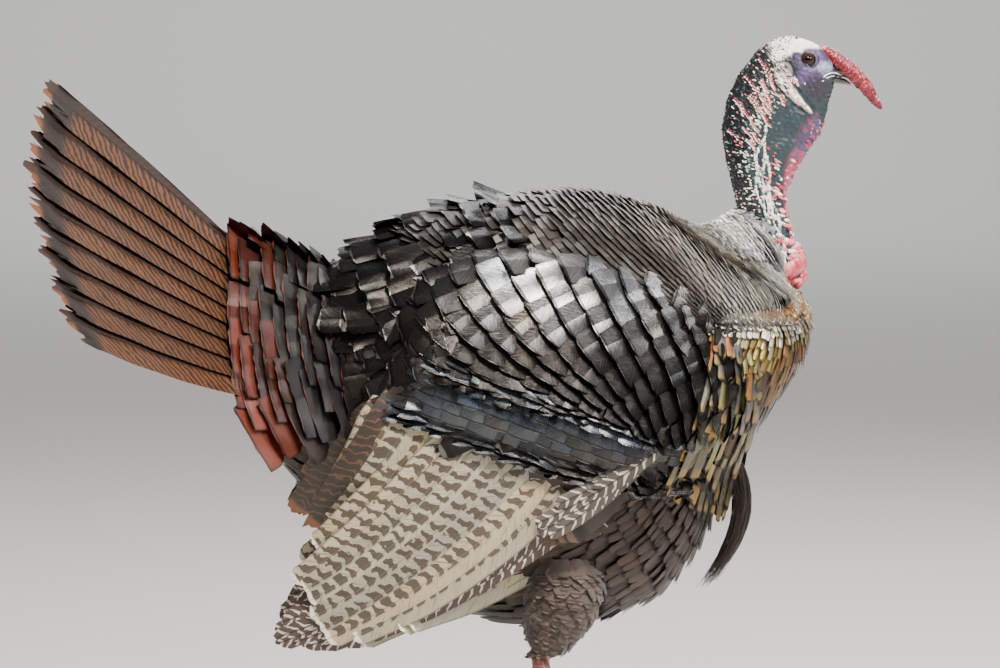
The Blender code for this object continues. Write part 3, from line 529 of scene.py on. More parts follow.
bareSkin = tintedMaterial("bareTurkeySkin", {
    # thin bare skin, damp at the folds, with pores about 1.5 mm apart
    "shader": {"Roughness": 0.42, "Specular IOR Level": 0.5, "IOR": 1.4, "Coat Weight": 0.15,
               "Coat Roughness": 0.25, "Subsurface Weight": 0.06, "Subsurface Scale": 0.002},
    "mottle": (260.0,) * 3, "rough": 0.6, "contrast": 0.75, "pores": 620.0, "bump": (0.6, 0.0008)})
engorgedSkin = tintedMaterial("engorgedCaruncleSkin", {
    # blood-filled skin, stretched smooth and glossy
    "shader": {"Roughness": 0.34, "Specular IOR Level": 0.55, "IOR": 1.4, "Coat Weight": 0.3,
               "Coat Roughness": 0.2, "Subsurface Weight": 0.1, "Subsurface Scale": 0.003},
    "mottle": (190.0,) * 3, "rough": 0.6, "contrast": 0.5, "pores": 520.0, "bump": (0.4, 0.0008)})
billHorn = tintedMaterial("billHorn", {
    # keratin horn: growth streaks along it and a thin gloss
    "shader": {"Roughness": 0.34, "IOR": 1.54, "Coat Weight": 0.2, "Coat Roughness": 0.15},
    "mottle": (260.0, 700.0, 700.0), "contrast": 0.5, "bump": (0.25, 0.0005)})
clawHorn = tintedMaterial("clawHorn", {
    # the same horn, duller, on claws, spurs and the beard's bristles
    "shader": {"Roughness": 0.38, "IOR": 1.54, "Coat Weight": 0.15, "Coat Roughness": 0.2},
    "mottle": (200.0, 500.0, 500.0), "contrast": 0.5, "bump": (0.2, 0.0005)})
legScales = tintedMaterial("legScales", {
    # dry keratin scales, rosy, darker in the grooves between them
    "shader": {"Roughness": 0.44, "IOR": 1.5, "Coat Weight": 0.12, "Coat Roughness": 0.3},
    "mottle": (300.0,) * 3, "contrast": 0.5, "bump": (0.3, 0.0004)})
wetEye, eyeTree, eyeShader = newMaterial("wetEye", {  # a clear wet film over the iris
    "Roughness": 0.08, "IOR": 1.38, "Specular IOR Level": 0.25, "Coat Weight": 0.35, "Coat Roughness": 0.02})
eyeTree.links.new(addNode(eyeTree, "Attribute", attribute_name="tint").outputs["Color"],
                  eyeShader.inputs["Base Color"])
print("materials made")




# ---- the body's surface as a map of ring and angle, read off the trunk
bodyAxis = np.array([  # back line and belly line, X and Z, from the collar to the tail's root
    (0.2690, 0.6070, 0.3000, 0.5840), (0.2660, 0.6085, 0.3085, 0.5640), (0.2570, 0.6040, 0.3130, 0.5360),
    (0.2450, 0.5965, 0.3240, 0.5255), (0.2300, 0.5925, 0.3330, 0.5160), (0.2130, 0.5985, 0.3350, 0.4930),
    (0.1850, 0.6130, 0.3260, 0.4610), (0.1420, 0.6250, 0.2920, 0.4120), (0.0980, 0.6285, 0.2560, 0.3520),
    (0.0580, 0.6250, 0.2360, 0.2930), (0.0180, 0.6180, 0.2010, 0.2440), (-0.0200, 0.6100, 0.1420, 0.2160),
    (-0.0560, 0.5960, 0.0660, 0.2080), (-0.0860, 0.5790, -0.0100, 0.2260), (-0.1090, 0.5610, -0.0760, 0.2640),
    (-0.1240, 0.5460, -0.1310, 0.3110), (-0.1380, 0.5310, -0.1660, 0.3640), (-0.1480, 0.5150, -0.1840, 0.4220)])
mapStart, mapEnd, ringsPerStation, anglesRound = 0.02, 16.98, 8, 144


def bodyMap():
    at = np.linspace(mapStart, mapEnd, (len(bodyAxis) - 1) * ringsPerStation + 1)
    # columns run from the belly up the right side, over the back and down the left side
    turn = np.linspace(-math.pi, math.pi, anglesRound + 1)
    middle, out, reach = axisRings(bodyAxis, at, turn, ["trunk"], 0.4, 3, missed=0.0)
    places = middle + out * reach[..., None]
    normal = gridNormals(places)
    return places, normal * np.sign((normal * out).sum(-1, keepdims=True))


bodyPlaces, bodyNormals = bodyMap()
print("body map read:", bodyPlaces.shape[:2])


def bodyTract(lines, rows, columns, aroundBelly=False):
    # A grid of body places from control lines, each a list of (station, degrees from the middle of the back)
    # that runs across the tract. Lines start at the middle of the back, or end at the middle of the belly,
    # and are mirrored there; angles below zero are on the right side.
    lines = np.array(lines, float)
    if aroundBelly:
        lines = np.concatenate([lines, lines[:, -2::-1] * (1, -1) + (0, 360)], axis=1)
    else:
        lines = np.concatenate([lines[:, ::-1] * (1, -1), lines[:, 1:]], axis=1)
    down = curveThrough(lines, np.linspace(0, lines.shape[0] - 1, rows))
    across = np.linspace(0, lines.shape[1] - 1, columns)
    station, angle = np.moveaxis(np.stack([curveThrough(row, across) for row in down]), -1, 0)
    i = (station - mapStart) / (mapEnd - mapStart) * (len(bodyPlaces) - 1)
    j = np.mod(angle + 180, 360) / 360 * anglesRound
    return sampleGrid(bodyPlaces, i, j), unit(sampleGrid(bodyNormals, i, j))


def blend(colours, places, x):
    # colours read at places along 0 to 1, N values of x to N x 3
    table = np.array([linear(c) for c in colours])
    return np.stack([np.interp(x, places, table[:, k]) for k in range(3)], axis=-1)


def spice(tint, rng, amount=0.15):
    # small differences of lightness and warmth from feather to feather
    lightness = 1 + amount * rng.normal(size=(len(tint), 1))
    warmth = 1 + 0.05 * rng.normal(size=(len(tint), 1)) * np.array([1.0, 0.2, -1.0])
    return np.clip(tint * lightness * warmth, 0.002, 1)


def plainTint(colour, amount):
    # one colour for a whole tract, spiced
    return lambda place, k, j, rng: spice(np.tile(linear(colour), (len(k), 1)), rng, amount)


# ---- mantle: the cape of neck and back feathers, whose rows all meet at the shoulder
mantle = dict(vane, tractRows=66, tractColumns=(70, -42), rows=6, columns=4, tipRound=0.03, camber=0.08, top=0.0026,
              lift=(0.9, 0.8, 1.5), square=0.9, headroom=0.15, longest=0.045, reach=4.2, overlap=1.6, fray=0.006,
              yaw=0.012, roll=2.5, tipNarrow=0.05)
mantleGrid, mantleNormal = bodyTract([
    [(0.1, 0), (0.15, 62), (0.7, 118), (1.9, 148), (3.7, 140), (5.4, 119), (6.6, 101)],
    [(3.6, 0), (3.4, 52), (3.5, 96), (4.0, 122), (5.0, 125), (6.0, 112), (6.65, 100.5)],
    [(6.3, 0), (6.0, 42), (5.8, 78), (5.9, 100), (6.1, 108), (6.5, 105), (6.72, 100)],
    [(8.8, 0), (8.4, 32), (7.9, 60), (7.4, 80), (7.1, 92), (6.9, 97), (6.8, 99)],
    [(12.3, 0), (11.6, 22), (10.6, 42), (9.4, 60), (8.3, 77), (7.5, 89), (6.95, 98)]], rows=120, columns=161)
mantleNormal = unit(blurGrid(mantleNormal, 4) + 1e-6)


def mantleTint(place, k, j, rng):
    away = np.abs(j - 0.5) * 2
    # painted highlight: the cape is painted silver-white near the neck, where the light falls on it, then turns to its
    # own dark brown behind
    paintedSheenToBrown = blend(("#ffffff", "#f6f4ee", "#c4beb6", "#443e3a", "#26221f"), (0, 0.30, 0.45, 0.62, 1), k)
    # the rim's lower front is orange copper, then gold
    rim = smoothstep(0.20, 0.06, k) * smoothstep(0.38, 0.55, away) * smoothstep(0.97, 0.80, away)
    return spice(over(paintedSheenToBrown, blend(("#e07c2c", "#e09a3c", "#d2bd5c"), (0, 0.05, 0.13), k), rim[:, None]), rng, 0.14)


tractVanes("mantleFeathers", mantleGrid, mantleNormal, mantle, mantleTint, 11, mantleFeather)

# short scale-like feathers over the collar, radiating from its rim, on the first rows of the mantle's grid
collarGridRows = 36
collar = dict(mantle, tractRows=13, tractColumns=(84, 0), tipRound=0.28, tipPower=2.4, camber=0.22, depth=0.0040,
              top=0.0040, lift=(0.8, 1, 0.6), longest=0.022, reach=1.9, overlap=1.12, narrowest=0.0032, widest=0.011,
              roll=6.0, rowJitter=0.16, tipNarrow=0.2)
# painted highlight: the collar takes the silver-white front of the mantle's tint
tractVanes("collarFeathers", mantleGrid[:collarGridRows], mantleNormal[:collarGridRows], collar,
           lambda place, k, j, rng: mantleTint(place, 0.3 * k, j, rng), 12, mantleFeather)

# ---- back and rump: broad square feathers that stand a little open
back = dict(vane, tractRows=12, tractColumns=(28, -6), rows=7, tipPower=4.5, stem=0.5, camber=0.12, depth=0.013,
            top=0.0085, square=0.8, narrowest=0.010, fray=0.02, yaw=0.07, roll=11.0, ruffle=0.0034, jitter=0.18,
            rowJitter=0.22, ripple=0.0012)
backGrid, backNormal = bodyTract([
    [(9.6, 0), (9.3, 24), (8.8, 46), (8.1, 66), (7.6, 84)],
    [(13.4, 0), (13.2, 28), (12.9, 54), (12.5, 78), (12.3, 100)],
    [(16.9, 0), (16.9, 32), (16.9, 62), (16.9, 92), (16.9, 112)]], rows=60, columns=97)


def backTint(place, k, j, rng):
    # painted shade: the hollow between the back and the shoulder is painted darker, as it lies in the dark
    paintedHollowShade = np.exp(-((place[:, 0] - 0.005) / 0.055) ** 2 - ((place[:, 2] - 0.565) / 0.030) ** 2)
    return spice(blend(("#1d1a18", "#1b1816"), (0, 1), k) * (1 - 0.8 * paintedHollowShade[:, None]), rng, 0.3)


tractVanes("backFeathers", backGrid, backNormal, back, backTint, 21, bronzeFeather)

# ---- breast, flanks and belly, from the crease under the cape to the vent
breast = dict(vane, tractRows=36, tractColumns=(88, -52), rows=7, columns=4, tipRound=0.09, tipPower=2.6, stem=0.6,
              camber=0.16, depth=0.0080, top=0.0022, lift=(1.5, 0.8, 0.5), square=0.7, overlap=1.25,
              narrowest=0.0045, widest=0.026, yaw=0.025, ruffle=0.0006, rowJitter=0.10, tipNarrow=0.2)
breastGrid, breastNormal = bodyTract([
    [(6.35, 99), (5.6, 114), (4.6, 132), (3.2, 152), (2.2, 180)],
    [(8.9, 106), (8.7, 122), (8.4, 140), (8.2, 160), (8.1, 180)],
    [(12.4, 100), (12.3, 120), (12.2, 140), (12.1, 160), (12.1, 180)],
    [(16.9, 90), (16.9, 112), (16.9, 135), (16.9, 157), (16.9, 180)]], rows=160, columns=129, aroundBelly=True)


def breastTint(place, k, j, rng):
    k = np.interp(k, (0, 0.333, 1), (0, 0.5, 1))
    # painted highlight: the breast is silver-white at its top by the crease, where the light falls, before its own
    # gold, copper and bronze
    tint = blend(("#e6e4da", "#d2cfc2", "#9a8a4c", "#7c5526", "#4c3d33", "#3a302b", "#2e251e"),
                 (0, 0.15, 0.23, 0.30, 0.36, 0.47, 1), k + 0.03 * rng.normal(size=len(k)))
    # painted shade: the first row, in the dark of the crease, is painted darker
    tint = tint * (0.08 + 0.92 * smoothstep(0.002, 0.026, k))[:, None]
    # copper and green-gold lights scattered over the breast and the shoulder's front
    pick = rng.uniform(size=len(k))[:, None]
    glint = np.where(pick < 0.14, linear("#7e4420"), np.where(pick > 0.88, linear("#77763e"), tint))
    share = 0.8 * (smoothstep(0.19, 0.26, k) * smoothstep(0.50, 0.34, k))[:, None]
    return spice(over(tint, glint, share), rng, 0.18)


tractVanes("breastFeathers", breastGrid, breastNormal, breast, breastTint, 31, goldFeather)




# ---- skin of head and neck, trunk and thighs
headAxis = np.array([  # back of the head and neck, then face, throat and front of the neck, X and Z
    (0.3525, 0.7540, 0.3560, 0.7285), (0.3460, 0.7605, 0.3545, 0.7215), (0.3360, 0.7665, 0.3520, 0.7130),
    (0.3240, 0.7710, 0.3490, 0.7050), (0.3110, 0.7722, 0.3455, 0.6970), (0.2970, 0.7685, 0.3410, 0.6885),
    (0.2830, 0.7594, 0.3350, 0.6783), (0.2680, 0.7410, 0.3285, 0.6680), (0.2550, 0.7150, 0.3215, 0.6560),
    (0.2500, 0.6870, 0.3145, 0.6420), (0.2540, 0.6585, 0.3110, 0.6255), (0.2610, 0.6290, 0.3120, 0.6080),
    (0.2670, 0.6030, 0.3170, 0.5850), (0.2770, 0.5770, 0.3230, 0.5640), (0.2900, 0.5520, 0.3255, 0.5440)])
eyeLook = {"centre": (0.3302, 0.0150, 0.7512), "radius": 0.0074}
eyePlace = np.array(eyeLook["centre"])[[0, 2]]  # in the side view
foldLine = np.array([(0.3010, 0.7330), (0.3110, 0.7235), (0.3225, 0.7115), (0.3335, 0.7010)])
earPlace = np.array([0.3070, 0.7395])
gapePlace = np.array([0.3500, 0.7375])
headRings, headColumns = 300, 168


def lineShare(places, line):
    # distance from a polyline in the side view, and the share of its length at the nearest place
    best, share = np.full(len(places), 9.0), np.zeros(len(places))
    for k in range(len(line) - 1):
        a, d = line[k], line[k + 1] - line[k]
        t = np.clip(((places - a) @ d) / (d @ d), 0, 1)
        distance = np.linalg.norm(places - (a + t[:, None] * d), axis=1)
        near = distance < best
        best, share = np.where(near, distance, best), np.where(near, (k + t) / (len(line) - 1), share)
    return best, share


headAt = np.linspace(0, len(headAxis) - 1, headRings)
headTurn = np.linspace(-math.pi, math.pi, headColumns, endpoint=False)
middle, outwards, reach = axisRings(headAxis, headAt, headTurn, ["head", "neck", "dewlap"], 0.2, 4)
reach = blurGrid(np.nan_to_num(reach, nan=0.02)[..., None], 10, wrap=True)
places = middle + outwards * reach
normals = gridNormals(places, wrap=True)
normals *= np.sign((normals * outwards).sum(-1, keepdims=True))
flat = places.reshape(-1, 3)
sideView = flat[:, [0, 2]]
aside = np.abs(normals.reshape(-1, 3)[:, 1])  # 1 where the skin faces sideways
rowShare = np.repeat(headAt / headAt[-1], headColumns)
angle = np.abs(np.degrees(np.tile(headTurn, headRings)))  # 0 at the nape, 180 at the throat
eyeAway = np.linalg.norm(sideView - eyePlace, axis=1)
foldAway, foldShare = lineShare(sideView, foldLine)
earAway = np.linalg.norm((sideView - earPlace) / (0.0085, 0.0095), axis=1)
gapeAway = np.linalg.norm((sideView - gapePlace) / (0.0085, 0.0050), axis=1)
throat = smoothstep(150, 178, angle)
facing = smoothstep(0.3, 0.7, aside)
bare = smoothstep(0.30, 0.42, rowShare)
foldWidth = 0.0034 - 0.0021 * smoothstep(0.55, 1.0, foldShare)
push = -facing * 0.0060 * smoothstep(0.0062, 0.0040, eyeAway)
# ridges and hollows of the face: height, distance from the feature, where it is highest, width and share
for height, away, crest, width, share in (
        (0.0014, eyeAway, 0.0120, 0.0030, smoothstep(0.748, 0.760, sideView[:, 1])),
        (-0.0030, eyeAway, 0.0, 0.0075, 1.0),
        (0.0028, foldAway, 0.0, foldWidth, smoothstep(0, 0.12, foldShare)),
        (-0.0012, foldAway, foldWidth + 0.0028, 0.0018, 1.0),
        (-0.0016, earAway, 0.0, 0.75, 1.0), (0.0010, earAway, 1.15, 0.28, 1.0),
        (0.0009, gapeAway, 1.1, 0.35, 1.0)):
    push += facing * height * np.exp(-((away - crest) / width) ** 2) * share
push += 0.0007 * softNoise(flat * (1, 1, 0.45), 0.009, 3) * bare
push += 0.0004 * softNoise(flat, 0.0042, 4)
# slack folds run down the sides of the neck
push += 0.0009 * bare * np.sin(angle / 7.5 + 1.5 * softNoise(flat, 0.03, 5)) * smoothstep(30, 70, angle)
# beaded crest of the dewlap down the throat's front edge
push += 0.0010 * throat * softNoise(flat, 0.0048, 6) * smoothstep(0.28, 0.40, rowShare)
flat = flat + normals.reshape(-1, 3) * push[:, None]


def headTint():
    palette = {"white": "#fbf8f1", "lilac": "#56486f", "pale": "#a3a8bf", "slate": "#263238", "dark": "#161b1e",
               "teal": "#22373e", "plum": "#30242f", "red": "#b8384c", "pink": "#c9607a", "ear": "#a9a8a0"}
    tint = np.tile(linear(palette["slate"]), (len(flat), 1))

    def lay(name, mask):
        nonlocal tint
        tint = over(tint, palette[name], np.clip(mask, 0, 1)[:, None])

    rough = softNoise(flat, 0.012, 8)
    head = smoothstep(0.46, 0.36, rowShare + 0.0009 * (180 - angle) / 180)
    lay("teal", 0.6 * smoothstep(-0.2, 0.9, softNoise(flat, 0.016, 9)))
    lay("lilac", head * facing * smoothstep(0.030, 0.014, eyeAway + 0.004 * rough))
    lay("plum", 0.8 * smoothstep(0.018, 0.006, np.linalg.norm(sideView - (0.340, 0.7245), axis=1)))
    lay("dark", 0.45 * head * facing * smoothstep(0.2, 1.2, softNoise(flat, 0.0065, 10)))
    lay("pale", 0.6 * smoothstep(0.010, 0.003, np.linalg.norm((sideView - (0.3475, 0.7440)) * (0.7, 1.2), axis=1)
                                  + 0.002 * rough))
    crownFoot = np.interp(sideView[:, 0], (0.290, 0.298, 0.318, 0.330, 0.345), (0.757, 0.748, 0.7575, 0.7612, 0.7615))
    crown = smoothstep(-0.0018, 0.0018, sideView[:, 1] + 0.0010 * rough - crownFoot)
    lay("dark", smoothstep(80, 52, angle + 10 * rough) * smoothstep(0.24, 0.34, rowShare) * 0.95)
    lay("white", crown * smoothstep(0.290, 0.298, sideView[:, 0]))
    behind = smoothstep(0.299, 0.288, sideView[:, 0] + 0.1 * (sideView[:, 1] - 0.75))
    lay("dark", behind * smoothstep(0.72, 0.74, sideView[:, 1]))
    lay("ear", facing * smoothstep(1.15, 0.85, earAway))
    lay("white", facing * smoothstep(0.0010, -0.0006, foldAway + 0.0006 * rough - foldWidth)
        * smoothstep(0.0, 0.10, foldShare))
    lay("dark", facing * smoothstep(0.0085, 0.0066, eyeAway) * 0.9)
    front = throat * smoothstep(0.30, 0.36, rowShare)
    lay("lilac", 0.85 * front)
    lay("pink", front * smoothstep(0.50, 0.62, rowShare + 0.02 * rough))
    lay("red", 0.8 * front * smoothstep(0.1, 0.8, softNoise(flat, 0.0075, 12)))
    return tint


def shrunk(ring, *shares):
    # rings drawn in to the ring's own middle
    return [ring.mean(0) + (ring - ring.mean(0)) * share for share in shares]


skinHeap = MeshHeap()
skinHeap.addTube(flat.reshape(places.shape), headTint().reshape(places.shape), 0.01, 0.99, 0.98, -0.57)
# the face end closes in behind the bill
faceShares = (1, 0.8, 0.5, 0.2, 0.02)
face = np.array(shrunk(flat[:headColumns], *faceShares))
face[..., 0] += 0.0022 * (1 - np.array(faceShares))[:, None]
skinHeap.addTube(face, "#6c6678", 0.01, 0.992, 0.98, 0.004)

# under the coat the skin lies in by the depth of the feathers
coatDepth = 0.0125
inner = blurGrid(bodyPlaces[:, :-1], 3, wrap=True) - bodyNormals[:, :-1] * coatDepth
inner = np.concatenate([shrunk(inner[0], 0.01, 0.4, 0.8), inner, shrunk(inner[-1], 0.7, 0.4, 0.1, 0.01)])
skinHeap.addTube(inner, "#2b2521", 0.01, 0.40, 0.98, -0.26)


# ---- thighs as maps of place down the leg and angle around it
legRows, legColumns, legFar = 40, 48, 0.12


def thighMap(side, sign):
    line = evenly([(0.102, sign * 0.058, 0.285), (0.100, sign * 0.058, 0.250), (0.091, sign * 0.055, 0.220),
                   (0.083, sign * 0.055, 0.198), (0.079, sign * 0.055, 0.190)], legRows)
    turn = np.linspace(0, fullTurn, legColumns + 1)
    out = np.broadcast_to(np.stack([np.cos(turn), np.sin(turn), 0 * turn], axis=-1), (legRows, legColumns + 1, 3))
    hits = castGrid(solidTree(["thigh_" + side]), line[:, None] + out * legFar, -out, legFar)
    reach = np.linalg.norm(hits - line[:, None], axis=-1)
    reach = np.where(np.isfinite(reach), reach, np.nanmedian(reach, axis=1, keepdims=True))
    reach = blurGrid(np.nan_to_num(reach, nan=0.04)[..., None], 4)[..., 0]
    grid = line[:, None] + out * reach[..., None]
    normal = gridNormals(grid)
    return grid, normal * np.sign((normal * out).sum(-1, keepdims=True))


thighs = {}
for side, sign in sideNames:
    grid, normal = thighs[side] = thighMap(side, sign)
    leg = grid[:, :-1] - normal[:, :-1] * np.linspace(0.009, 0.0015, legRows)[:, None, None]
    skinHeap.addTube(leg, "#3a2d28", 0.52 if sign > 0 else 0.02, 0.01, 0.43, 0.11)


# ---- lids: a rolled rim round each eye that follows the eyeball
# each ring of the lid: distance from the eye's middle, stand off the ball, colour
lidRings = ((0.0057, -0.0002, "#0e0c0a"), (0.0059, 0.0007, "#110f0d"), (0.0064, 0.0012, "#1b171e"),
            (0.0070, 0.0009, "#3a3247"), (0.0076, 0.0002, "#62567a"), (0.0083, 0.0006, "#4a3f5c"),
            (0.0092, 0.0002, "#554868"), (0.0106, -0.0018, "#5a4c70"))
lidColumns = 72


def lidGrid(sign):
    centre = np.array(eyeLook["centre"]) * (1, sign, 1)
    ball = eyeLook["radius"]
    turn = np.linspace(0, fullTurn, lidColumns, endpoint=False)
    rings = []
    for distance, stand, _ in lidRings:
        # the opening is a little longer than tall and drops at the front corner
        x = np.cos(turn) * distance * (1.10 - 0.04 * (distance > 0.0060))
        z = np.sin(turn) * distance * np.where(np.sin(turn) > 0, 0.94, 0.98)
        depth = np.sqrt(max(ball**2 - min(distance, ball * 0.93) ** 2, 0)) + stand
        depth = depth - 0.0005 * smoothstep(0.006, 0.010, distance)
        crinkle = 0.00018 * np.sin(turn * 23) * (distance > 0.0055)
        rings.append(np.stack([centre[0] + x, centre[1] + sign * (depth + crinkle), centre[2] + z], -1))
    return np.array(rings)


for side, sign in sideNames:
    tint = np.repeat([linear(colour) for *_, colour in lidRings], lidColumns, axis=0)
    uv = gridUv(len(lidRings), lidColumns, 0.46, 0.02 if sign > 0 else 0.0, 0.03, 0.012)
    quads = gridQuads(len(lidRings), lidColumns, wrap=True)
    skinHeap.add(lidGrid(sign), quads if sign < 0 else quads[:, ::-1], uv, tint=tint)


# ---- caruncles of the neck: many low lumps of skin, long sideways on the nape, rounder in front
def lumps(heap, places, normals, directions, sizes, colours, seed, rings=3, segments=8):
    # places, normals and directions N x 3; sizes half length along its direction, half width and height;
    # colours a hex value each, or one for all
    rng = np.random.default_rng(seed)
    count, size = len(places), (rings + 1) * segments
    tilt = np.linspace(0, math.pi / 2 * 1.15, rings + 1)[::-1, None]
    turn = np.linspace(0, fullTurn, segments, endpoint=False)
    long, wide, high = np.broadcast_to(sizes, (count, 3)).T[..., None, None]
    wobble = 1 + 0.12 * rng.normal(size=(count, 1, segments))
    x = np.sin(tilt) * np.cos(turn) * wobble * long
    y = np.sin(tilt) * np.sin(turn) * wobble * wide
    z = np.cos(tilt) * high + 0 * x
    across = unit(np.cross(normals, directions))
    points = sum((axis[:, None, None] * part[..., None] for axis, part in (
        (directions, x), (across, y), (normals, z))), places[:, None, None])
    quads = gridQuads(rings + 1, segments, wrap=True)[None] + np.arange(count)[:, None, None] * size
    tint = np.broadcast_to([linear(c) for c in np.atleast_1d(colours)], (count, 3))[:, None, None]
    # painted light and shade: each lump is lighter on its crown and darker round its foot, where it meets the skin
    tint = tint * (0.75 + 0.35 * np.cos(tilt)[..., None]) + 0 * x[..., None]
    uv = rng.uniform(0, 0.1, (count, 1, 2)).repeat(size, 1) + (0.6, 0.0)
    heap.add(points, quads, uv, tint=tint)


def headAtlas(share, degrees):
    # place, normal and sideways direction on the head and neck at a share of the way down and an angle
    grid = flat.reshape(headRings, headColumns, 3)
    i = np.clip(share, 0, 1) * (headRings - 1)
    j = np.mod(degrees + 180, 360) / 360 * headColumns
    wide = np.concatenate([grid, grid[:, :1]], axis=1)
    smoothWide = np.concatenate([normals, normals[:, :1]], axis=1)
    place, normal = sampleGrid(wide, i, j), unit(sampleGrid(smoothWide, i, j))
    after, before = (sampleGrid(wide, i, np.clip(j + k, 0, headColumns)) for k in (1, -1))
    sideways = unit(after - before)
    downwards = unit(sampleGrid(wide, i + 2, j) - sampleGrid(wide, i - 2, j))
    return place, normal, sideways, downwards


def neckLumps(heap):
    rng = np.random.default_rng(41)
    white, cream, pink, red, dark, teal, lilac = (
        "#efe9dc", "#ddcdb8", "#d87884", "#b93648", "#2a3135", "#6c8a90", "#8f86a6")
    # nape and back of the head: rows of short sideways welts
    found = []
    for share in np.arange(0.235, 0.95, 0.0066):
        reach = 88 if share > 0.40 else 88 * smoothstep(0.18, 0.36, share) * 0.95
        for degrees in np.arange(-reach, reach + 1, 6.0 if share < 0.36 else (7.5 if share < 0.62 else 9.5)):
            found.append((share + rng.normal() * 0.003, degrees + rng.normal() * 3.0))
    found = np.array(found)
    found = found[rng.uniform(size=len(found)) > 0.12]
    found = found[np.linalg.norm(headAtlas(*found.T)[0][:, [0, 2]] - eyePlace, axis=1) > 0.0215]
    place, normal, sideways, downwards = headAtlas(*found.T)
    share, degrees = found.T
    count = len(found)
    pick = rng.uniform(size=count)
    knobs = share < 0.37
    # pale beads stand closest in a line down the side and are few on the nape
    beaded = 0.10 + 0.42 * np.exp(-((np.abs(degrees) - 66) / 17) ** 2)
    # the teal lumps are painted highlights, grey-blue glints among the dark ones
    colours = np.select([pick < np.where(knobs, 0.66, beaded), pick < beaded + 0.08, pick < beaded + 0.12,
                         pick > 0.90], [white, cream, pink, teal], dark)
    long = np.where(knobs, rng.uniform(0.0008, 0.0018, count), rng.uniform(0.0010, 0.0026, count))
    sizes = np.stack([long, rng.uniform(0.0006, 0.0010, count), rng.uniform(0.0009, 0.0016, count)], -1)
    tilt = (0.30 * rng.normal(size=count) + 0.45 * smoothstep(0.6, 0.3, share))[:, None]
    lumps(heap, place - normal * 0.0003, normal, unit(sideways + downwards * tilt), sizes, colours, 42)
    # longer curved welts, pink above and white below
    for sign in (-1, 1):
        for start, degrees in rng.uniform((0.27, 26), (0.66, 96), (34, 2)):
            span = np.linspace(-1, 1, 7) * rng.uniform(8, 15) * (0.7 if start < 0.36 else 1.0)
            share = start + 0.006 * np.cos(span / 9.0) * rng.choice((-1, 1)) + 0.0005 * span
            for shift, colour in ((0.0, pink if rng.uniform() < 0.6 else red), (0.0056, white)):
                place, normal, sideways, _ = headAtlas(share + shift, sign * (degrees + span))
                use = np.linalg.norm(place[:, [0, 2]] - eyePlace, axis=1) > 0.0225
                sizes = rng.uniform((0.0012, 0.0006, 0.0011), (0.0019, 0.0009, 0.0017), (7, 3))
                lumps(heap, (place - normal * 0.0002)[use], normal[use], sideways[use], sizes[use], colour, 48)
    # wavy upright ridges on the sides of the lower neck
    for sign in (-1, 1):
        for start, degrees in ((0.56, 92), (0.60, 104), (0.64, 118), (0.66, 84), (0.70, 97), (0.72, 110)):
            share = start + np.arange(0, 26) * 0.0095 * rng.uniform(0.8, 1.1)
            share = share[share < 0.96]
            wander = degrees + 5.5 * np.sin(share * 46 + rng.uniform(0, 6)) + (share - start) * 30
            place, normal, _, downwards = headAtlas(share, sign * wander)
            count = len(share)
            # the teal ones are painted highlights, grey-blue glints
            colours = np.where(rng.uniform(size=count) < 0.75, white, teal)
            sizes = np.stack([rng.uniform(0.0020, 0.0034, count), rng.uniform(0.0009, 0.0019, count),
                              rng.uniform(0.0013, 0.0024, count)], -1)
            lumps(heap, place, normal, downwards, sizes, colours, 43)
    # larger red, pink and cream caruncles towards the front, growing downwards
    share = rng.uniform(0.585, 0.97, 230)
    degrees = np.sign(rng.normal(size=230)) * rng.uniform(104, 172, 230)
    place, normal, sideways, _ = headAtlas(share, degrees)
    pick = rng.uniform(size=230)
    swell = (0.6 + 0.9 * (share - 0.6) / 0.37)[:, None]
    lumps(heap, place - normal * 0.0004, normal, sideways,
          rng.uniform((0.0020, 0.0012, 0.0014), (0.0058, 0.0022, 0.0026), (230, 3)) * swell,
          np.select([pick < 0.32, pick < 0.55, pick < 0.95], [pink, red, white], lilac), 44, rings=5, segments=10)
    # red beads down the dewlap's edge
    share = np.linspace(0.30, 0.66, 60) + rng.normal(size=60) * 0.003
    place, normal, _, downwards = headAtlas(share, 180 + rng.normal(size=60) * 5)
    colours = np.where(rng.uniform(size=60) < 0.6, red, lilac)
    sizes = rng.uniform((0.0010, 0.0010, 0.0009), (0.0019, 0.0018, 0.0016), (60, 3))
    lumps(heap, place - normal * 0.0003, normal, downwards, sizes, colours, 45)
    # a few pink dots along the white fold's lower end
    for sign in (-1, 1):
        share = rng.uniform(0.55, 1.0, 14)
        spots = np.stack([np.interp(share, np.linspace(0, 1, 4), foldLine[:, k]) for k in (0, 1)], -1)
        spots = spots + rng.normal(size=spots.shape) * 0.0016
        nearest = [np.argmin(np.linalg.norm(sideView - spot, axis=1) + 9 * (flat[:, 1] * sign < 0.008))
                   for spot in spots]
        normal = normals.reshape(-1, 3)[nearest]
        sizes = rng.uniform((0.0008, 0.0006, 0.0006), (0.0013, 0.0009, 0.0009), (14, 3))
        lumps(heap, flat[nearest], normal, unit(np.cross(normal, (0.0, 1.0, 0.3))), sizes, pink, 46)


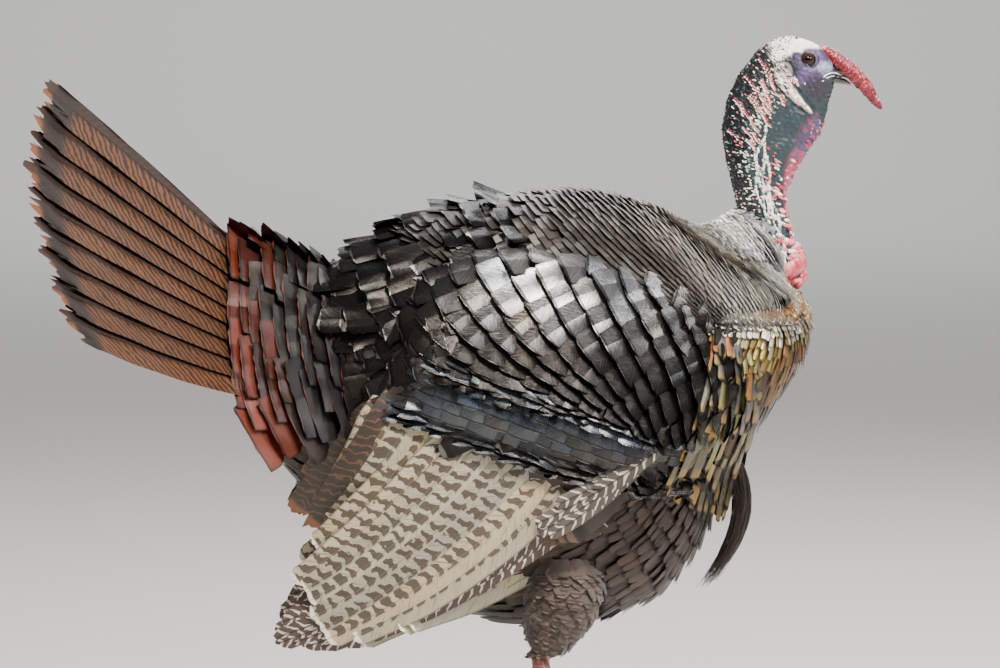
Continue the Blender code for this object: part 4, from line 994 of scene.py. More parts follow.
def gape(heap, sign):
    # the soft pale corner of the mouth, over a dark line that is painted shade for the mouth's slit
    line = evenly([(0.3440, 0, 0.7338), (0.3480, 0, 0.7368), (0.3530, 0, 0.7382), (0.3580, 0, 0.7376),
                   (0.3620, 0, 0.7360)], 22)
    tree = solidTree(["head", "bill_upper", "bill_lower"])
    for drop, colour, width, height in ((0.0, "#d5d8de", 0.0009, 0.0010), (-0.0017, "#14171a", 0.0007, 0.0005),
                                        (-0.0031, "#c3c6cc", 0.0007, 0.0008)):
        start = line + (0, sign * 0.05, drop)
        place = castGrid(tree, start, np.broadcast_to((0.0, -sign, 0.0), start.shape), 0.06)
        place = place[np.isfinite(place).all(1)]
        normal, ahead = (np.tile(unit(np.array(v)), (len(place), 1)) for v in (
            (0.15, sign, 0.05), (1.0, -0.2 * sign, 0.1)))
        lumps(heap, place, normal, ahead, (0.0014, width, height), colour, 47)


weltHeap = MeshHeap()
neckLumps(weltHeap)
for _, sign in sideNames:
    gape(weltHeap, sign)
weltHeap.piece("neckWelts", bareSkin, "blue_skin")
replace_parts(skinHeap.piece("skin", bareSkin, "blue_skin"), "head", "neck", "trunk", "dewlap", "ear_left", "ear_right",
            "thigh_left", "thigh_right")
print("skin of head, neck, body and thighs laid")




# ---- wings: the outer face of body and folded wing together, read sideways as a height field
wingX, wingZ = np.linspace(-0.26, 0.36, 156), np.linspace(0.16, 0.64, 121)
wingFar, edgeFall = 0.4, 0.0008  # where rays start, and how far the face falls away per cell past its edge


def wingField(sign, names):
    x, z = np.meshgrid(wingX, wingZ, indexing="ij")
    start = np.stack([x, np.full_like(x, sign * wingFar), z], axis=-1)
    hits = castGrid(solidTree(names), start, np.broadcast_to((0.0, -sign, 0.0), start.shape), wingFar)
    y = np.abs(hits[..., 1])
    # beyond the outline the face is carried on, falling away
    for _ in range(60):
        missing = ~np.isfinite(y)
        if not missing.any():
            break
        padded = np.pad(y, 1, constant_values=np.nan)
        around = np.stack([padded[:-2, 1:-1], padded[2:, 1:-1], padded[1:-1, :-2], padded[1:-1, 2:]])
        known = np.isfinite(around)
        mean = np.where(known, around, 0).sum(0) / np.maximum(known.sum(0), 1)
        y = np.where(missing & known.any(0), mean - edgeFall, y)
    return np.nan_to_num(y, nan=0.02)


def wingPlaces(field, sign, flat, stand=0.0):
    # places of X and Z on the wing's face, stand metres off it
    i = (flat[..., 0] - wingX[0]) / (wingX[-1] - wingX[0]) * (len(wingX) - 1)
    j = (flat[..., 1] - wingZ[0]) / (wingZ[-1] - wingZ[0]) * (len(wingZ) - 1)
    y = sampleGrid(field[..., None], i, j)[..., 0] + stand
    return np.stack([flat[..., 0], sign * y, flat[..., 1]], axis=-1)


def wingGrid(field, sign, lines, rows=64, columns=49):
    # a grid over the wing from control lines of X, Z places, rows running the way the feathers point
    lines = np.array(lines, float)
    across = np.linspace(0, lines.shape[1] - 1, columns)
    down = curveThrough(lines, np.linspace(0, len(lines) - 1, rows))
    grid = wingPlaces(field, sign, np.stack([curveThrough(row, across) for row in down]))
    normal = gridNormals(grid)
    return grid, normal * np.sign(normal[..., 1:2] * sign)


lesser = dict(
    # lesser and median coverts: square-tipped feathers in steep bands
    vane, tractRows=15, tractColumns=(8, 2), tipPower=3.4, stem=0.8, camber=0.15, depth=0.0090, top=0.0050,
    reach=2.0, overlap=1.22, narrowest=0.012, widest=0.036, fray=0.006, yaw=0.014, roll=2.2, ruffle=0.0008,
    jitter=0.08, rowJitter=0.02, tipNarrow=0.0, full=0.4, lines=[
        [(0.262, 0.500), (0.270, 0.478), (0.275, 0.455), (0.272, 0.425), (0.262, 0.405)],
        [(0.196, 0.545), (0.212, 0.510), (0.228, 0.475), (0.236, 0.430), (0.236, 0.392)],
        [(0.118, 0.568), (0.140, 0.525), (0.165, 0.480), (0.188, 0.435), (0.202, 0.395)],
        [(0.040, 0.574), (0.062, 0.530), (0.095, 0.485), (0.135, 0.445), (0.165, 0.410)],
        [(-0.030, 0.552), (-0.005, 0.510), (0.035, 0.475), (0.085, 0.445), (0.130, 0.420)],
        [(-0.070, 0.505), (-0.048, 0.478), (-0.005, 0.455), (0.045, 0.438), (0.095, 0.425)]])
greater = dict(
    # lower tract: narrow strips that slope down to the front, above the wing's smooth lower edge
    vane, tractRows=8, tractColumns=(15, 0), tipPower=3.6, top=0.0034, reach=2.2, narrowest=0.010, widest=0.032,
    fray=0.010, roll=4.0, ruffle=0.0005, tipNarrow=0.03, full=0.4, lines=[
        [(-0.030, 0.485), (0.030, 0.468), (0.090, 0.446), (0.145, 0.422), (0.200, 0.402), (0.252, 0.398)],
        [(-0.055, 0.455), (0.008, 0.436), (0.070, 0.413), (0.128, 0.391), (0.184, 0.374), (0.236, 0.366)],
        [(-0.078, 0.425), (-0.015, 0.403), (0.048, 0.381), (0.108, 0.362), (0.164, 0.350), (0.212, 0.342)]])
rearward = dict(
    # tertials and scapulars behind the shoulder: large broad feathers with loose ends
    vane, tractRows=6, tractColumns=(8, 0), rows=9, columns=8, tipRound=0.08, tipPower=4.0, stem=0.45, camber=0.12,
    depth=0.008, top=0.0055, square=0.7, reach=2.2, narrowest=0.018, widest=0.040, fray=0.03, yaw=0.04, roll=4.0,
    ruffle=0.0016, jitter=0.14, rowJitter=0.12, tipNarrow=0.05, ripple=0.0012,
    keep=lambda tip: tip[:, 2] > 0.44 + 0.8 * (tip[:, 0] + 0.06), lines=[
        [(-0.010, 0.565), (0.000, 0.520), (0.005, 0.470), (0.005, 0.425), (0.010, 0.385)],
        [(-0.060, 0.545), (-0.048, 0.500), (-0.040, 0.455), (-0.036, 0.410), (-0.030, 0.370)],
        [(-0.115, 0.500), (-0.110, 0.462), (-0.100, 0.420), (-0.090, 0.375), (-0.075, 0.335)]])
shoulderFront = dict(
    # narrow hanging feathers in front of the wing, with gold and copper ends
    vane, tractRows=7, tractColumns=(9, 0), rows=9, columns=4, tipRound=0.06, tipPower=2.6, camber=0.14,
    depth=0.0060, top=0.0040, square=0.5, overlap=1.20, widest=0.012, yaw=0.03, ruffle=0.0010, rowJitter=0.22,
    tipNarrow=0.12, lines=[
        [(0.236, 0.505), (0.252, 0.498), (0.268, 0.488), (0.280, 0.474)],
        [(0.232, 0.470), (0.250, 0.460), (0.268, 0.450), (0.284, 0.436)],
        [(0.222, 0.428), (0.242, 0.418), (0.262, 0.406), (0.276, 0.392)],
        [(0.205, 0.385), (0.226, 0.374), (0.246, 0.362), (0.262, 0.350)],
        [(0.190, 0.345), (0.212, 0.335), (0.232, 0.322), (0.248, 0.310)]])


def lesserTint(place, k, j, rng):
    # painted light and shade: the upper bands are painted lighter, as if they catch the light, and the lower ones
    # darker
    high = (smoothstep(0.47, 0.56, place[:, 2]) * smoothstep(-0.04, 0.06, place[:, 0]))[:, None]
    return spice(over("#2a2725", "#7f7e7e", high), rng, 0.10)


def greaterTint(place, k, j, rng):
    # painted shade: the tract turns darker brown towards its lower edge, where it lies in shade
    return spice(over("#454a50", "#2c2826", smoothstep(0.42, 0.36, place[:, 2])[:, None]), rng, 0.18)


def frontTint(place, k, j, rng):
    pick = rng.uniform(size=len(k))[:, None]
    low = smoothstep(0.45, 0.36, place[:, 2])[:, None]
    gold = np.where(pick < 0.5, linear("#a07c30"), linear("#945426"))
    gold = np.where(pick > 0.8, linear("#82843c"), gold)
    share = (0.05 + 0.45 * low) * (rng.uniform(size=(len(k), 1)) < 0.4)
    pick = rng.uniform(size=len(k))[:, None]
    strand = np.where(pick < 0.12, linear("#8a5530"), over("#5c5a58", "#57503f", low))
    return spice(over(np.where(pick > 0.90, linear("#777c4c"), strand), gold, share), rng, 0.2)


def quillRow(name, field, sign, look, seed, material, slot):
    # single flight feathers from a root line to a tip line, the first lying on top
    rng = np.random.default_rng(seed)
    count = look["count"]
    at = np.linspace(0, 1, count)
    roots, tips = (curveThrough(look[key], at * (len(look[key]) - 1)) for key in ("roots", "tips"))
    # feathers of uneven length
    tips = tips + (tips - roots) * rng.normal(size=(count, 1)) * look["lengthJitter"]
    middles = (roots + tips) / 2 + np.stack([-(tips - roots)[:, 1], (tips - roots)[:, 0]], -1) * look["bow"]
    stand = look["stand"] - look["step"] * np.arange(count)
    places = [wingPlaces(field, sign, flat, stand) for flat in (roots, middles, tips)]
    width = np.full(count, look["width"]) * (1 + 0.05 * rng.normal(size=count))
    normal = np.broadcast_to(unit(np.array([0.0, sign, -0.04])), (count, 3, 3))
    tint = spice(np.tile(linear(look["colour"]), (count, 1)), rng, look.get("spice", 0.08))
    cell = np.stack([patchLow + patchSize * (at * 0.94 + 0.03), np.full(count, 0.5),
                     np.full(count, patchSize / count * 0.95), np.full(count, patchSize * 0.95)], -1)
    heap = MeshHeap()
    vaneMesh(heap, *places, normal, width, dict(look["vane"], mirror=-sign), seed, tint, cell)
    return heap.piece(name, material, slot)


lastCoverts = {
    "count": 13, "width": 0.031, "stand": -0.0050, "step": 0.00025, "colour": "#3b302c", "bow": 0.06,
    "lengthJitter": 0.03,
    "vane": dict(vane, rows=20, columns=8, tipRound=0.06, tipPower=2.6, stem=0.6, depth=0.002, fray=0.010,
                 yaw=0.01, roll=3.0, tipNarrow=0.15, full=0.3, rowEase=1.0),
    "roots": [(-0.040, 0.455), (0.010, 0.440), (0.070, 0.420), (0.110, 0.408), (0.140, 0.400), (0.165, 0.390)],
    "tips": [(-0.092, 0.398), (-0.045, 0.364), (0.010, 0.338), (0.045, 0.318), (0.075, 0.310), (0.100, 0.312)]}
quillVane = dict(vane, rows=40, columns=8, tipRound=0.035, tipPower=2.4, stem=0.55, camber=0.14, depth=0.0,
                 fray=0.004, yaw=0.004, roll=2.5, tipNarrow=0.25, full=0.25, rowEase=1.0, columnEase=0.9)
secondaries = {
    "count": 14, "width": 0.032, "stand": 0.0010, "step": 0.00022, "colour": "#aaa18a", "spice": 0.06,
    "bow": 0.045, "lengthJitter": 0.05, "vane": quillVane,
    "roots": [(-0.070, 0.440), (-0.030, 0.420), (0.015, 0.398), (0.060, 0.376), (0.105, 0.352), (0.135, 0.325)],
    "tips": [(-0.118, 0.345), (-0.136, 0.300), (-0.142, 0.255), (-0.128, 0.222), (-0.090, 0.214), (-0.046, 0.226)]}
primaries = {
    "count": 9, "width": 0.024, "stand": 0.0006, "step": 0.00022, "colour": "#4b3b34", "bow": 0.035,
    "lengthJitter": 0.015, "vane": dict(quillVane, rows=52),
    "roots": [(0.110, 0.378), (0.128, 0.374), (0.142, 0.368), (0.150, 0.360)],
    "tips": [(-0.160, 0.230), (-0.176, 0.210), (-0.150, 0.203), (-0.112, 0.202)]}
alula = {
    "count": 4, "width": 0.017, "stand": 0.0030, "step": 0.0005, "colour": "#4a403b", "bow": 0.03,
    "lengthJitter": 0.05, "vane": dict(quillVane, rows=24, stem=0.6),
    "roots": [(0.186, 0.394), (0.178, 0.388), (0.170, 0.380), (0.164, 0.374)],
    "tips": [(0.084, 0.338), (0.080, 0.328), (0.080, 0.319), (0.088, 0.314)]}
darkTertials = {
    "count": 4, "width": 0.036, "stand": 0.0030, "step": 0.0006, "colour": "#3a322d", "bow": 0.02,
    "lengthJitter": 0.06, "vane": dict(quillVane, rows=26, fray=0.02, tipRound=0.07),
    "roots": [(-0.045, 0.455), (-0.055, 0.445), (-0.062, 0.435), (-0.068, 0.430)],
    "tips": [(-0.145, 0.300), (-0.150, 0.330), (-0.142, 0.352), (-0.130, 0.372)]}

for side, sign in sideNames:
    shell, inner, under = (
        blurGrid(wingField(sign, ["trunk"] + [name + side for name in names])[..., None], times)[..., 0]
        for names, times in ((("wing_shoulder_", "wing_greater_coverts_"), 5), (("wing_secondaries_",), 3),
                             (("wing_primaries_",), 3)))
    for name, look, tintAt, seed, material, replaced in (
            ("shoulderCoverts_", lesser, lesserTint, 101, bronzeFeather, "wing_shoulder_"),
            ("lowerCoverts_", greater, greaterTint, 121, bronzeFeather, "wing_greater_coverts_"),
            ("scapulars_", rearward, plainTint("#2d2826", 0.2), 141, bronzeFeather, None),
            ("shoulderFrontFeathers_", shoulderFront, frontTint, 161, goldTippedFeather, None)):
        piece = tractVanes(name + side, *wingGrid(shell, sign, look["lines"]), look, tintAt, seed, material)
        if replaced:
            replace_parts(piece, replaced + side)
    for name, look, field, seed, material, slot, replaced in (
            ("secondaries_", secondaries, inner, 201, barredQuill, "barred_quill", "wing_secondaries_"),
            ("lastCoverts_", lastCoverts, shell, 211, downFeather, "bronze_feather", None),
            ("primaries_", primaries, under, 221, slashedQuill, "barred_quill", "wing_primaries_"),
            ("alula_", alula, shell, 241, slashedQuill, "barred_quill", "wing_alula_"),
            ("tertials_", darkTertials, inner, 261, darkTertial, "bronze_feather", None)):
        piece = quillRow(name + side, field, sign, look, seed, material, slot)
        if replaced:
            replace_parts(piece, replaced + side)
print("wings feathered")




# ---- tail: eighteen barred feathers in a roof-shaped fan, the middle pair on top
tail = {"pairs": 9, "rows": 64, "columns": 18, "keelRows": 40, "length": 0.3686, "outerShorter": 0.126,
        "tipWidth": 0.058, "baseWidth": 0.012, "step": 0.0042, "seam": 0.0035, "colour": "#563217"}


def tailSurface(across, out):
    root = np.stack([-0.120 - 0.015 * across, 0.0020 + 0.028 * across, 0.487 - 0.055 * across**1.3], axis=-1)
    elevation = np.radians(43.2 - 26.2 * across)
    splay = np.radians(0.2 + 56.0 * across - 12.0 * across**2)
    heading = np.stack([-np.cos(elevation) * np.cos(splay), np.cos(elevation) * np.sin(splay), np.sin(elevation)], -1)
    length = tail["length"] * (1 - tail["outerShorter"] * across)
    place = root + heading * (out * length)[..., None]
    place[..., 2] += np.sin(math.pi * np.clip(out, 0, 1)) * (0.007 - 0.014 * across)
    return place


def fanPoints(across, out, lift):
    step = 1e-3
    place = tailSurface(across, out)
    normal = unit(np.cross(tailSurface(across + step, out) - place, tailSurface(across, out + step) - place))
    return place + normal * lift[..., None]


def fanWidth(out):
    across = np.linspace(0, 1, 30)
    lines = tailSurface(np.broadcast_to(across, (len(out), 30)), np.broadcast_to(out[:, None], (len(out), 30)))
    return np.linalg.norm(np.diff(lines, axis=1), axis=2).sum(1)


def tailFeathers():
    rng = np.random.default_rng(301)
    rows, columns = tail["rows"], tail["columns"]
    quads = gridQuads(rows + 1, columns + 1)
    heap = MeshHeap()
    out = 0.02 + 0.98 * np.linspace(0, 1, rows + 1)[:, None]
    width = tail["baseWidth"] + (tail["tipWidth"] - tail["baseWidth"]) * np.sin(out * math.pi / 2) ** 0.8
    halfShare = width / fanWidth(out[:, 0])[:, None] / 2
    u = np.sin(np.linspace(-1, 1, columns + 1) * math.pi / 2)
    pitch = 1.0 / (tail["pairs"] - 0.5)
    for i in range(tail["pairs"]):
        middle = pitch * (i + 0.5)
        for _, sign in sideNames:
            # the ends are cut round, ragged and a little split
            ragged = 0.024 * rng.normal(size=columns + 1) + 0.008 * rng.normal()
            reach = out - (0.060 * np.abs(u) ** 2.6 + np.abs(ragged)) * smoothstep(0.88, 1.0, out)
            across = np.maximum(middle + halfShare * u, tail["seam"])
            lift = (across - middle) / pitch * tail["step"]
            # the vane is arched across, thin at its edges, and ripples along its length
            lift = lift + 0.0014 * (1 - np.abs(u) ** 1.5) * (1 - 0.5 * out)
            lift = lift + 0.0007 * np.sin(out * 30 + rng.uniform(0, 6) + 2 * u) * smoothstep(0.3, 1, out)
            place = fanPoints(across, reach, lift)
            # the middle pair meet, the right one lying a little over the left
            seam = fanPoints(0 * across + tail["seam"], reach, lift)[..., 1] + (0.0012 if sign < 0 else -0.0002)
            place[..., 1] -= seam * smoothstep(0.11, tail["seam"], across)
            uv = np.stack([((i + 0.5 * (sign > 0)) + 0.25 + u * 0.22) / tail["pairs"] + 0 * out,
                           np.broadcast_to(patchLow + patchSize * out, across.shape)], -1)
            metres = out * tail["length"] * (1 - tail["outerShorter"] * middle) + 0 * u
            tint = spice(linear(tail["colour"])[None], rng, 0.07)[0] * (1 + 0.10 * (1 - out[..., None]))
            heap.add(place * (1.0, sign, 1.0), quads if sign > 0 else quads[:, ::-1], uv, along=reach,
                     across=np.broadcast_to(u, across.shape), metresAlong=metres,
                     metresAcross=np.broadcast_to(u * width / 2, across.shape),
                     tone=np.full(across.shape, rng.uniform()), tint=np.broadcast_to(tint, across.shape + (3,)))
            # the shaft: a low dark keel on the vane
            s = np.linspace(0.02, 0.97, tail["keelRows"])
            keel = []
            for aside, stand in ((-1, 0.0), (0, 0.0011), (1, 0.0)):
                line = np.maximum(middle + 0.0015 * (1 - 0.8 * s) / fanWidth(s) * aside, tail["seam"])
                base = 0.0014 * (1 - 0.5 * s) + (line - middle) / pitch * tail["step"]
                keel.append(fanPoints(line, s, base + stand * (1 - 0.7 * s) - 0.0001) * (1.0, sign, 1.0))
            keel = np.stack(keel, axis=1)
            none, half = np.zeros(keel.shape[:2]), np.full(keel.shape[:2], 0.5)
            heap.add(keel, gridQuads(*keel.shape[:2]), np.broadcast_to(uv[0, columns // 2], keel.shape[:2] + (2,)),
                     along=half, across=none, metresAlong=none, metresAcross=none, tone=half,
                     tint=np.broadcast_to(linear("#3a241a"), keel.shape))
    return heap.piece("tailFeathers", tailQuill, "tail_feather")


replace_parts(tailFeathers(), *[f"rectrix_{side}_{i + 1}" for side, _ in sideNames for i in range(9)])

# ---- upper tail coverts: a rust saddle over the roots of the tail, and dark glossy feathers before it
coverts = dict(
    vane, tractRows=11, tractColumns=(9, 2), columns=12, tipRound=0.06, camber=0.05, depth=0.0080, top=0.0046,
    overlap=1.25, narrowest=0.012, widest=0.070, fray=0.016, roll=3.0, ruffle=0.0012, jitter=0.12, rowJitter=0.16,
    ripple=0.0012, keep=lambda tip: tip[:, 2] > 0.396)
saddleRoots = [(-0.100, 0.000, 0.545), (-0.100, 0.030, 0.536), (-0.098, 0.052, 0.510), (-0.092, 0.069, 0.475),
               (-0.084, 0.081, 0.430), (-0.070, 0.087, 0.370)]
saddleTips = [(-0.220, 0.000, 0.592), (-0.216, 0.043, 0.552), (-0.215, 0.077, 0.510), (-0.210, 0.102, 0.465),
              (-0.203, 0.111, 0.422), (-0.170, 0.106, 0.362)]


def saddleGrid(rows, columns):
    at = np.linspace(0, len(saddleRoots) - 1, columns)
    share = np.linspace(0, 1, rows)[:, None, None]
    left = curveThrough(saddleRoots, at) * (1 - share) + curveThrough(saddleTips, at) * share
    left[..., 2] += 0.006 * np.sin(math.pi * share[..., 0])
    left[:, 0, 1] = 0
    grid = np.concatenate([(left * (1, -1, 1))[:, :0:-1], left], axis=1)
    grid = blurGrid(grid, 2)
    normal = gridNormals(grid)
    return grid, normal * np.sign(((grid - (-0.12, 0, 0.42)) * normal).sum(-1, keepdims=True))


def covertTint(place, k, j, rng):
    rust = over("#331309", "#521c0b", smoothstep(0.6, 0.95, k)[:, None])
    dark = smoothstep(0.80, 0.60, k + 0.08 * rng.normal(size=len(k)))[:, None]
    return spice(over(rust, "#191716", dark), rng, 0.22)


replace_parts(tractVanes("upperTailCoverts", *saddleGrid(rows=50, columns=48), coverts, covertTint, 321,
                       covertFeather, "tail_covert"), "tail_coverts_upper")


# ---- under tail coverts: a soft roof under the roots
def underGrid(rows, columns):
    across = np.linspace(-1, 1, columns) * 0.98
    folded, reach = np.meshgrid(np.maximum(np.abs(across), 0.01), np.linspace(0.0, 0.46, rows))
    near = fanPoints(folded, reach, np.full(folded.shape, -0.0052))
    depth = np.interp(np.linspace(0, 0.46, rows), (0, 0.16, 0.30, 0.46), (0.027, 0.022, 0.013, 0.003))[:, None]
    far = near - np.array([-0.2, 0.0, 1.0]) * (depth * (1 - 0.5 * folded))[..., None]
    far[..., 1] = np.maximum(far[..., 1], 0.010 * folded) * np.sign(np.round(across, 6))
    normal = gridNormals(far)
    return far, normal * np.sign(((far - (-0.2, 0, 0.62)) * normal).sum(-1, keepdims=True))


underTail = dict(coverts, tractRows=10, tractColumns=(18, 0), columns=6, overlap=1.6, reach=3.0, widest=0.03,
                 depth=0.006, top=0.001, keep=None)
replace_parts(tractVanes("underTailCoverts", *underGrid(rows=50, columns=61), underTail, plainTint("#5a3b2c", 0.2),
                       341, downFeather, "down"), "tail_coverts_under")

# ---- thigh feathers
thighLook = dict(vane, tractRows=15, tractColumns=(22, -8), rows=5, columns=4, tipRound=0.2, tipPower=2.2, stem=0.45,
                 camber=0.2, depth=0.0055, top=0.0008, square=0.0, reach=3.0, overlap=1.6, narrowest=0.004,
                 widest=0.02, fray=0.04, yaw=0.06, ruffle=0.0006, jitter=0.2, rowJitter=0.2, tipNarrow=0.3)
for side, _ in sideNames:
    grid, normal = thighs[side]
    # the first rows lie under the body's feathers
    tractVanes("thighFeathers_" + side, grid[4:], normal[4:], thighLook, plainTint("#483a32", 0.2), 361, downFeather,
               "down")
print("tail and thighs feathered")


# ---- tubes along a line, with their rings square to it
def tubeGrid(line, radii, columns, up=(0.0, 1.0, 0.0), flatten=1.0):
    tangent = unit(np.gradient(line, axis=0))
    first = unit(np.cross(np.broadcast_to(up, line.shape), tangent))
    second = np.cross(tangent, first)
    turn = np.linspace(0, fullTurn, columns, endpoint=False)
    out = first[:, None] * np.cos(turn)[None, :, None] + second[:, None] * (np.sin(turn) * flatten)[None, :, None]
    return line[:, None] + out * radii[:, None, None], out, turn


def ballGrid(tilt, columns):
    # directions out from a ball's middle: rings at angles from the pole
    turn = np.linspace(0, fullTurn, columns, endpoint=False)
    tilt = tilt[:, None]
    return np.stack([np.sin(tilt) * np.cos(turn), np.sin(tilt) * np.sin(turn), np.cos(tilt) + 0 * turn], -1)


# ---- snood: the wrinkled, blood-filled finger of skin that hangs over the bill
snood = {"route": [(0.3400, 0.0, 0.7600), (0.3490, -0.0030, 0.7580), (0.3585, -0.0085, 0.7510),
                   (0.3680, -0.0125, 0.7428), (0.3776, -0.0110, 0.7335), (0.3873, -0.0075, 0.7222),
                   (0.3960, -0.0035, 0.7100), (0.4012, -0.0010, 0.7035)],
         "radii": (0.0034, 0.0052, 0.0062, 0.0068, 0.0070, 0.0062, 0.0044, 0.0024),
         "rows": 190, "columns": 56, "endRows": 10, "flatten": 0.86}


def makeSnood():
    line = evenly(snood["route"], snood["rows"])
    along = np.linspace(0, 1, snood["rows"])[:, None]
    radii = curveThrough(snood["radii"], along[:, 0] * (len(snood["radii"]) - 1))
    end = snood["endRows"]
    radii[-end:] *= np.sqrt(np.clip(1 - (np.arange(1, end + 1) / end) ** 2, 0.0004, 1))
    grid, out, _ = tubeGrid(line, radii, snood["columns"], flatten=snood["flatten"])
    # close cross wrinkles that break up round the sides, and beads between them
    warp, breaks, beads, mottle = (softNoise(grid, *key) for key in ((0.010, 51), (0.006, 52), (0.0030, 53),
                                                                     (0.0042, 54)))
    wrinkle = np.sin(along * 150 + 2.6 * warp) * (0.35 + 0.65 * (breaks > -0.2))
    lift = (0.00034 * wrinkle + 0.00026 * beads + 0.0004 * warp) * smoothstep(1.0, 0.9, along)
    grid = grid + out * lift[..., None]
    # painted light and shade: the wrinkles' crests and the upper side are painted a lighter red and the creases darker;
    # the pale flecks are partly the skin's own and gather on the upper side as painted highlight
    tint = over("#6a1520", "#ac3844", smoothstep(-0.0002, 0.0009, lift + 0.0004 * (out[..., 2] > 0.2))[..., None])
    tint = over(tint, "#eec5bf", 0.6 * smoothstep(1.0, 1.6, mottle + 0.35 * out[..., 2])[..., None])
    heap = MeshHeap()
    heap.addTube(grid, tint)
    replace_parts(heap.piece("snood", engorgedSkin, "red_skin"), "snood")


makeSnood()

# ---- the large caruncles at the foot of the neck, swollen into one another
caruncleLobes = (  # centre, radii
    ((0.3188, 0.0000, 0.5590), (0.0118, 0.0125, 0.0165)), ((0.3215, 0.0030, 0.5450), (0.0108, 0.0108, 0.0098)),
    ((0.3160, -0.0085, 0.5560), (0.0100, 0.0088, 0.0140)), ((0.3160, 0.0085, 0.5560), (0.0100, 0.0088, 0.0140)),
    ((0.3195, -0.0050, 0.5395), (0.0085, 0.0080, 0.0065)), ((0.3120, -0.0150, 0.5530), (0.0080, 0.0072, 0.0110)),
    ((0.3120, 0.0150, 0.5530), (0.0080, 0.0072, 0.0110)), ((0.3205, 0.0000, 0.5715), (0.0065, 0.0070, 0.0065)),
    ((0.3165, -0.0095, 0.5700), (0.0052, 0.0050, 0.0058)), ((0.3165, 0.0095, 0.5700), (0.0052, 0.0050, 0.0058)))
heap = MeshHeap()
for k, (centre, radii) in enumerate(caruncleLobes):
    out = ballGrid(np.linspace(0.02, math.pi - 0.02, 30), 44)
    place = np.array(centre) + out * radii
    swell = 0.0006 * softNoise(place, 0.013, 61 + k) + 0.00008 * softNoise(place, 0.0034, 71 + k)
    place = place + out * swell[..., None]
    # painted light and shade: the lobes' upper sides are painted pale pink, as lit from above, and their undersides
    # darker red
    top = smoothstep(0.2, 0.95, out[..., 2] + 0.35 * softNoise(place, 0.008, 62))[..., None]
    tint = over("#b83049", "#d46474", smoothstep(-0.8, 0.8, softNoise(place, 0.012, 63))[..., None])
    tint = over(tint, "#f0c4c0", 0.55 * top)
    tint = over(tint, "#7f1f33", 0.5 * smoothstep(-0.4, -0.9, out[..., 2])[..., None])
    heap.addTube(place, tint, (k % 5) * 0.2 + 0.01, (k // 5) * 0.5 + 0.01, 0.18, 0.48)
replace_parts(heap.piece("majorCaruncles", engorgedSkin, "red_skin"), "caruncles")

# ---- eyes: a ball with a brown iris, a black pupil and the wet bulge of the cornea
for side, sign in sideNames:
    tilt = np.linspace(0.01, math.pi * 0.72, 70)
    out = ballGrid(tilt, 72)[..., [0, 2, 1]]
    # the cornea stands out over the iris
    bulge = 1 + 0.07 * smoothstep(0.62, 0.15, tilt)[:, None, None]
    place = np.array(eyeLook["centre"]) * (1, sign, 1) + out * (1, sign, 1) * eyeLook["radius"] * bulge
    degrees = np.degrees(tilt)[:, None, None]
    fibre = np.random.default_rng(81).uniform(-1, 1, 72)[:, None] * smoothstep(14, 20, degrees)
    tint = over("#140b07", "#3e2413", smoothstep(20, 42, degrees + 2.5 * fibre))
    tint = over(tint, "#120c09", smoothstep(46, 52, degrees))
    tint = over("#020202", tint, smoothstep(19.5, 22.5, degrees))
    heap = MeshHeap()
    quads = gridQuads(70, 72, wrap=True)
    heap.add(place, quads[:, ::-1] if sign > 0 else quads, gridUv(70, 72), tint=tint)
    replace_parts(heap.piece("eye" + side.capitalize(), wetEye, "eye"), "eye_" + side)


# ---- bill: two horn sheaths, the upper hooked over the lower
def hornGrid(above, below, widths, egg, rows=48, columns=40):
    t = np.linspace(0, 3, rows)
    top, bottom, half = curveThrough(above, t), curveThrough(below, t), curveThrough(widths, t)
    centre, up = (top + bottom) / 2, (top - bottom) / 2
    turn = np.linspace(0, fullTurn, columns, endpoint=False)
    rise, out = np.cos(turn), np.sin(turn)
    grid = np.stack([centre[:, :1] + up[:, :1] * rise, half[:, None] * out * (1 + egg * rise),
                     centre[:, 1:] + up[:, 1:] * rise], -1)
    tip = grid[-1].mean(0)
    return np.concatenate([grid, [tip + (grid[-1] - tip) * s for s in (0.6, 0.2, 0.02)]])


for name, above, below, widths, egg, colours in (
        ("Upper", [(0.3500, 0.7525), (0.3640, 0.7475), (0.3715, 0.7388), (0.3752, 0.7268)],
         [(0.3520, 0.7350), (0.3650, 0.7340), (0.3720, 0.7303), (0.3746, 0.7260)],
         (0.0098, 0.0080, 0.0055, 0.0013), -0.25, ("#2e2b2a", "#57534a")),
        ("Lower", [(0.3525, 0.7342), (0.3640, 0.7331), (0.3700, 0.7297), (0.3722, 0.7267)],
         [(0.3535, 0.7290), (0.3620, 0.7275), (0.3680, 0.7265), (0.3712, 0.7257)],
         (0.0085, 0.0068, 0.0045, 0.0013), 0.25, ("#34322f", "#6d6859"))):
    grid = hornGrid(above, below, widths, egg)
    heap = MeshHeap()
    heap.addTube(grid, over(*colours, smoothstep(0.1, 0.8, np.linspace(0, 1, len(grid))[:, None, None])))
    if name == "Upper":
        # nostril slits
        for sign in (-1, 1):
            # painted shade: a dark lump stands in for each nostril's opening
            lumps(heap, np.array([[0.3575, sign * 0.0082, 0.7430]]), np.array([[0.25, sign * 0.95, 0.15]]),
                  unit(np.array([[1.0, 0.0, -0.35]])), (0.0026, 0.0011, 0.0007), "#1a1817", 91)
    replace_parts(heap.piece("bill" + name, billHorn, "bill_horn"), "bill_" + name.lower())

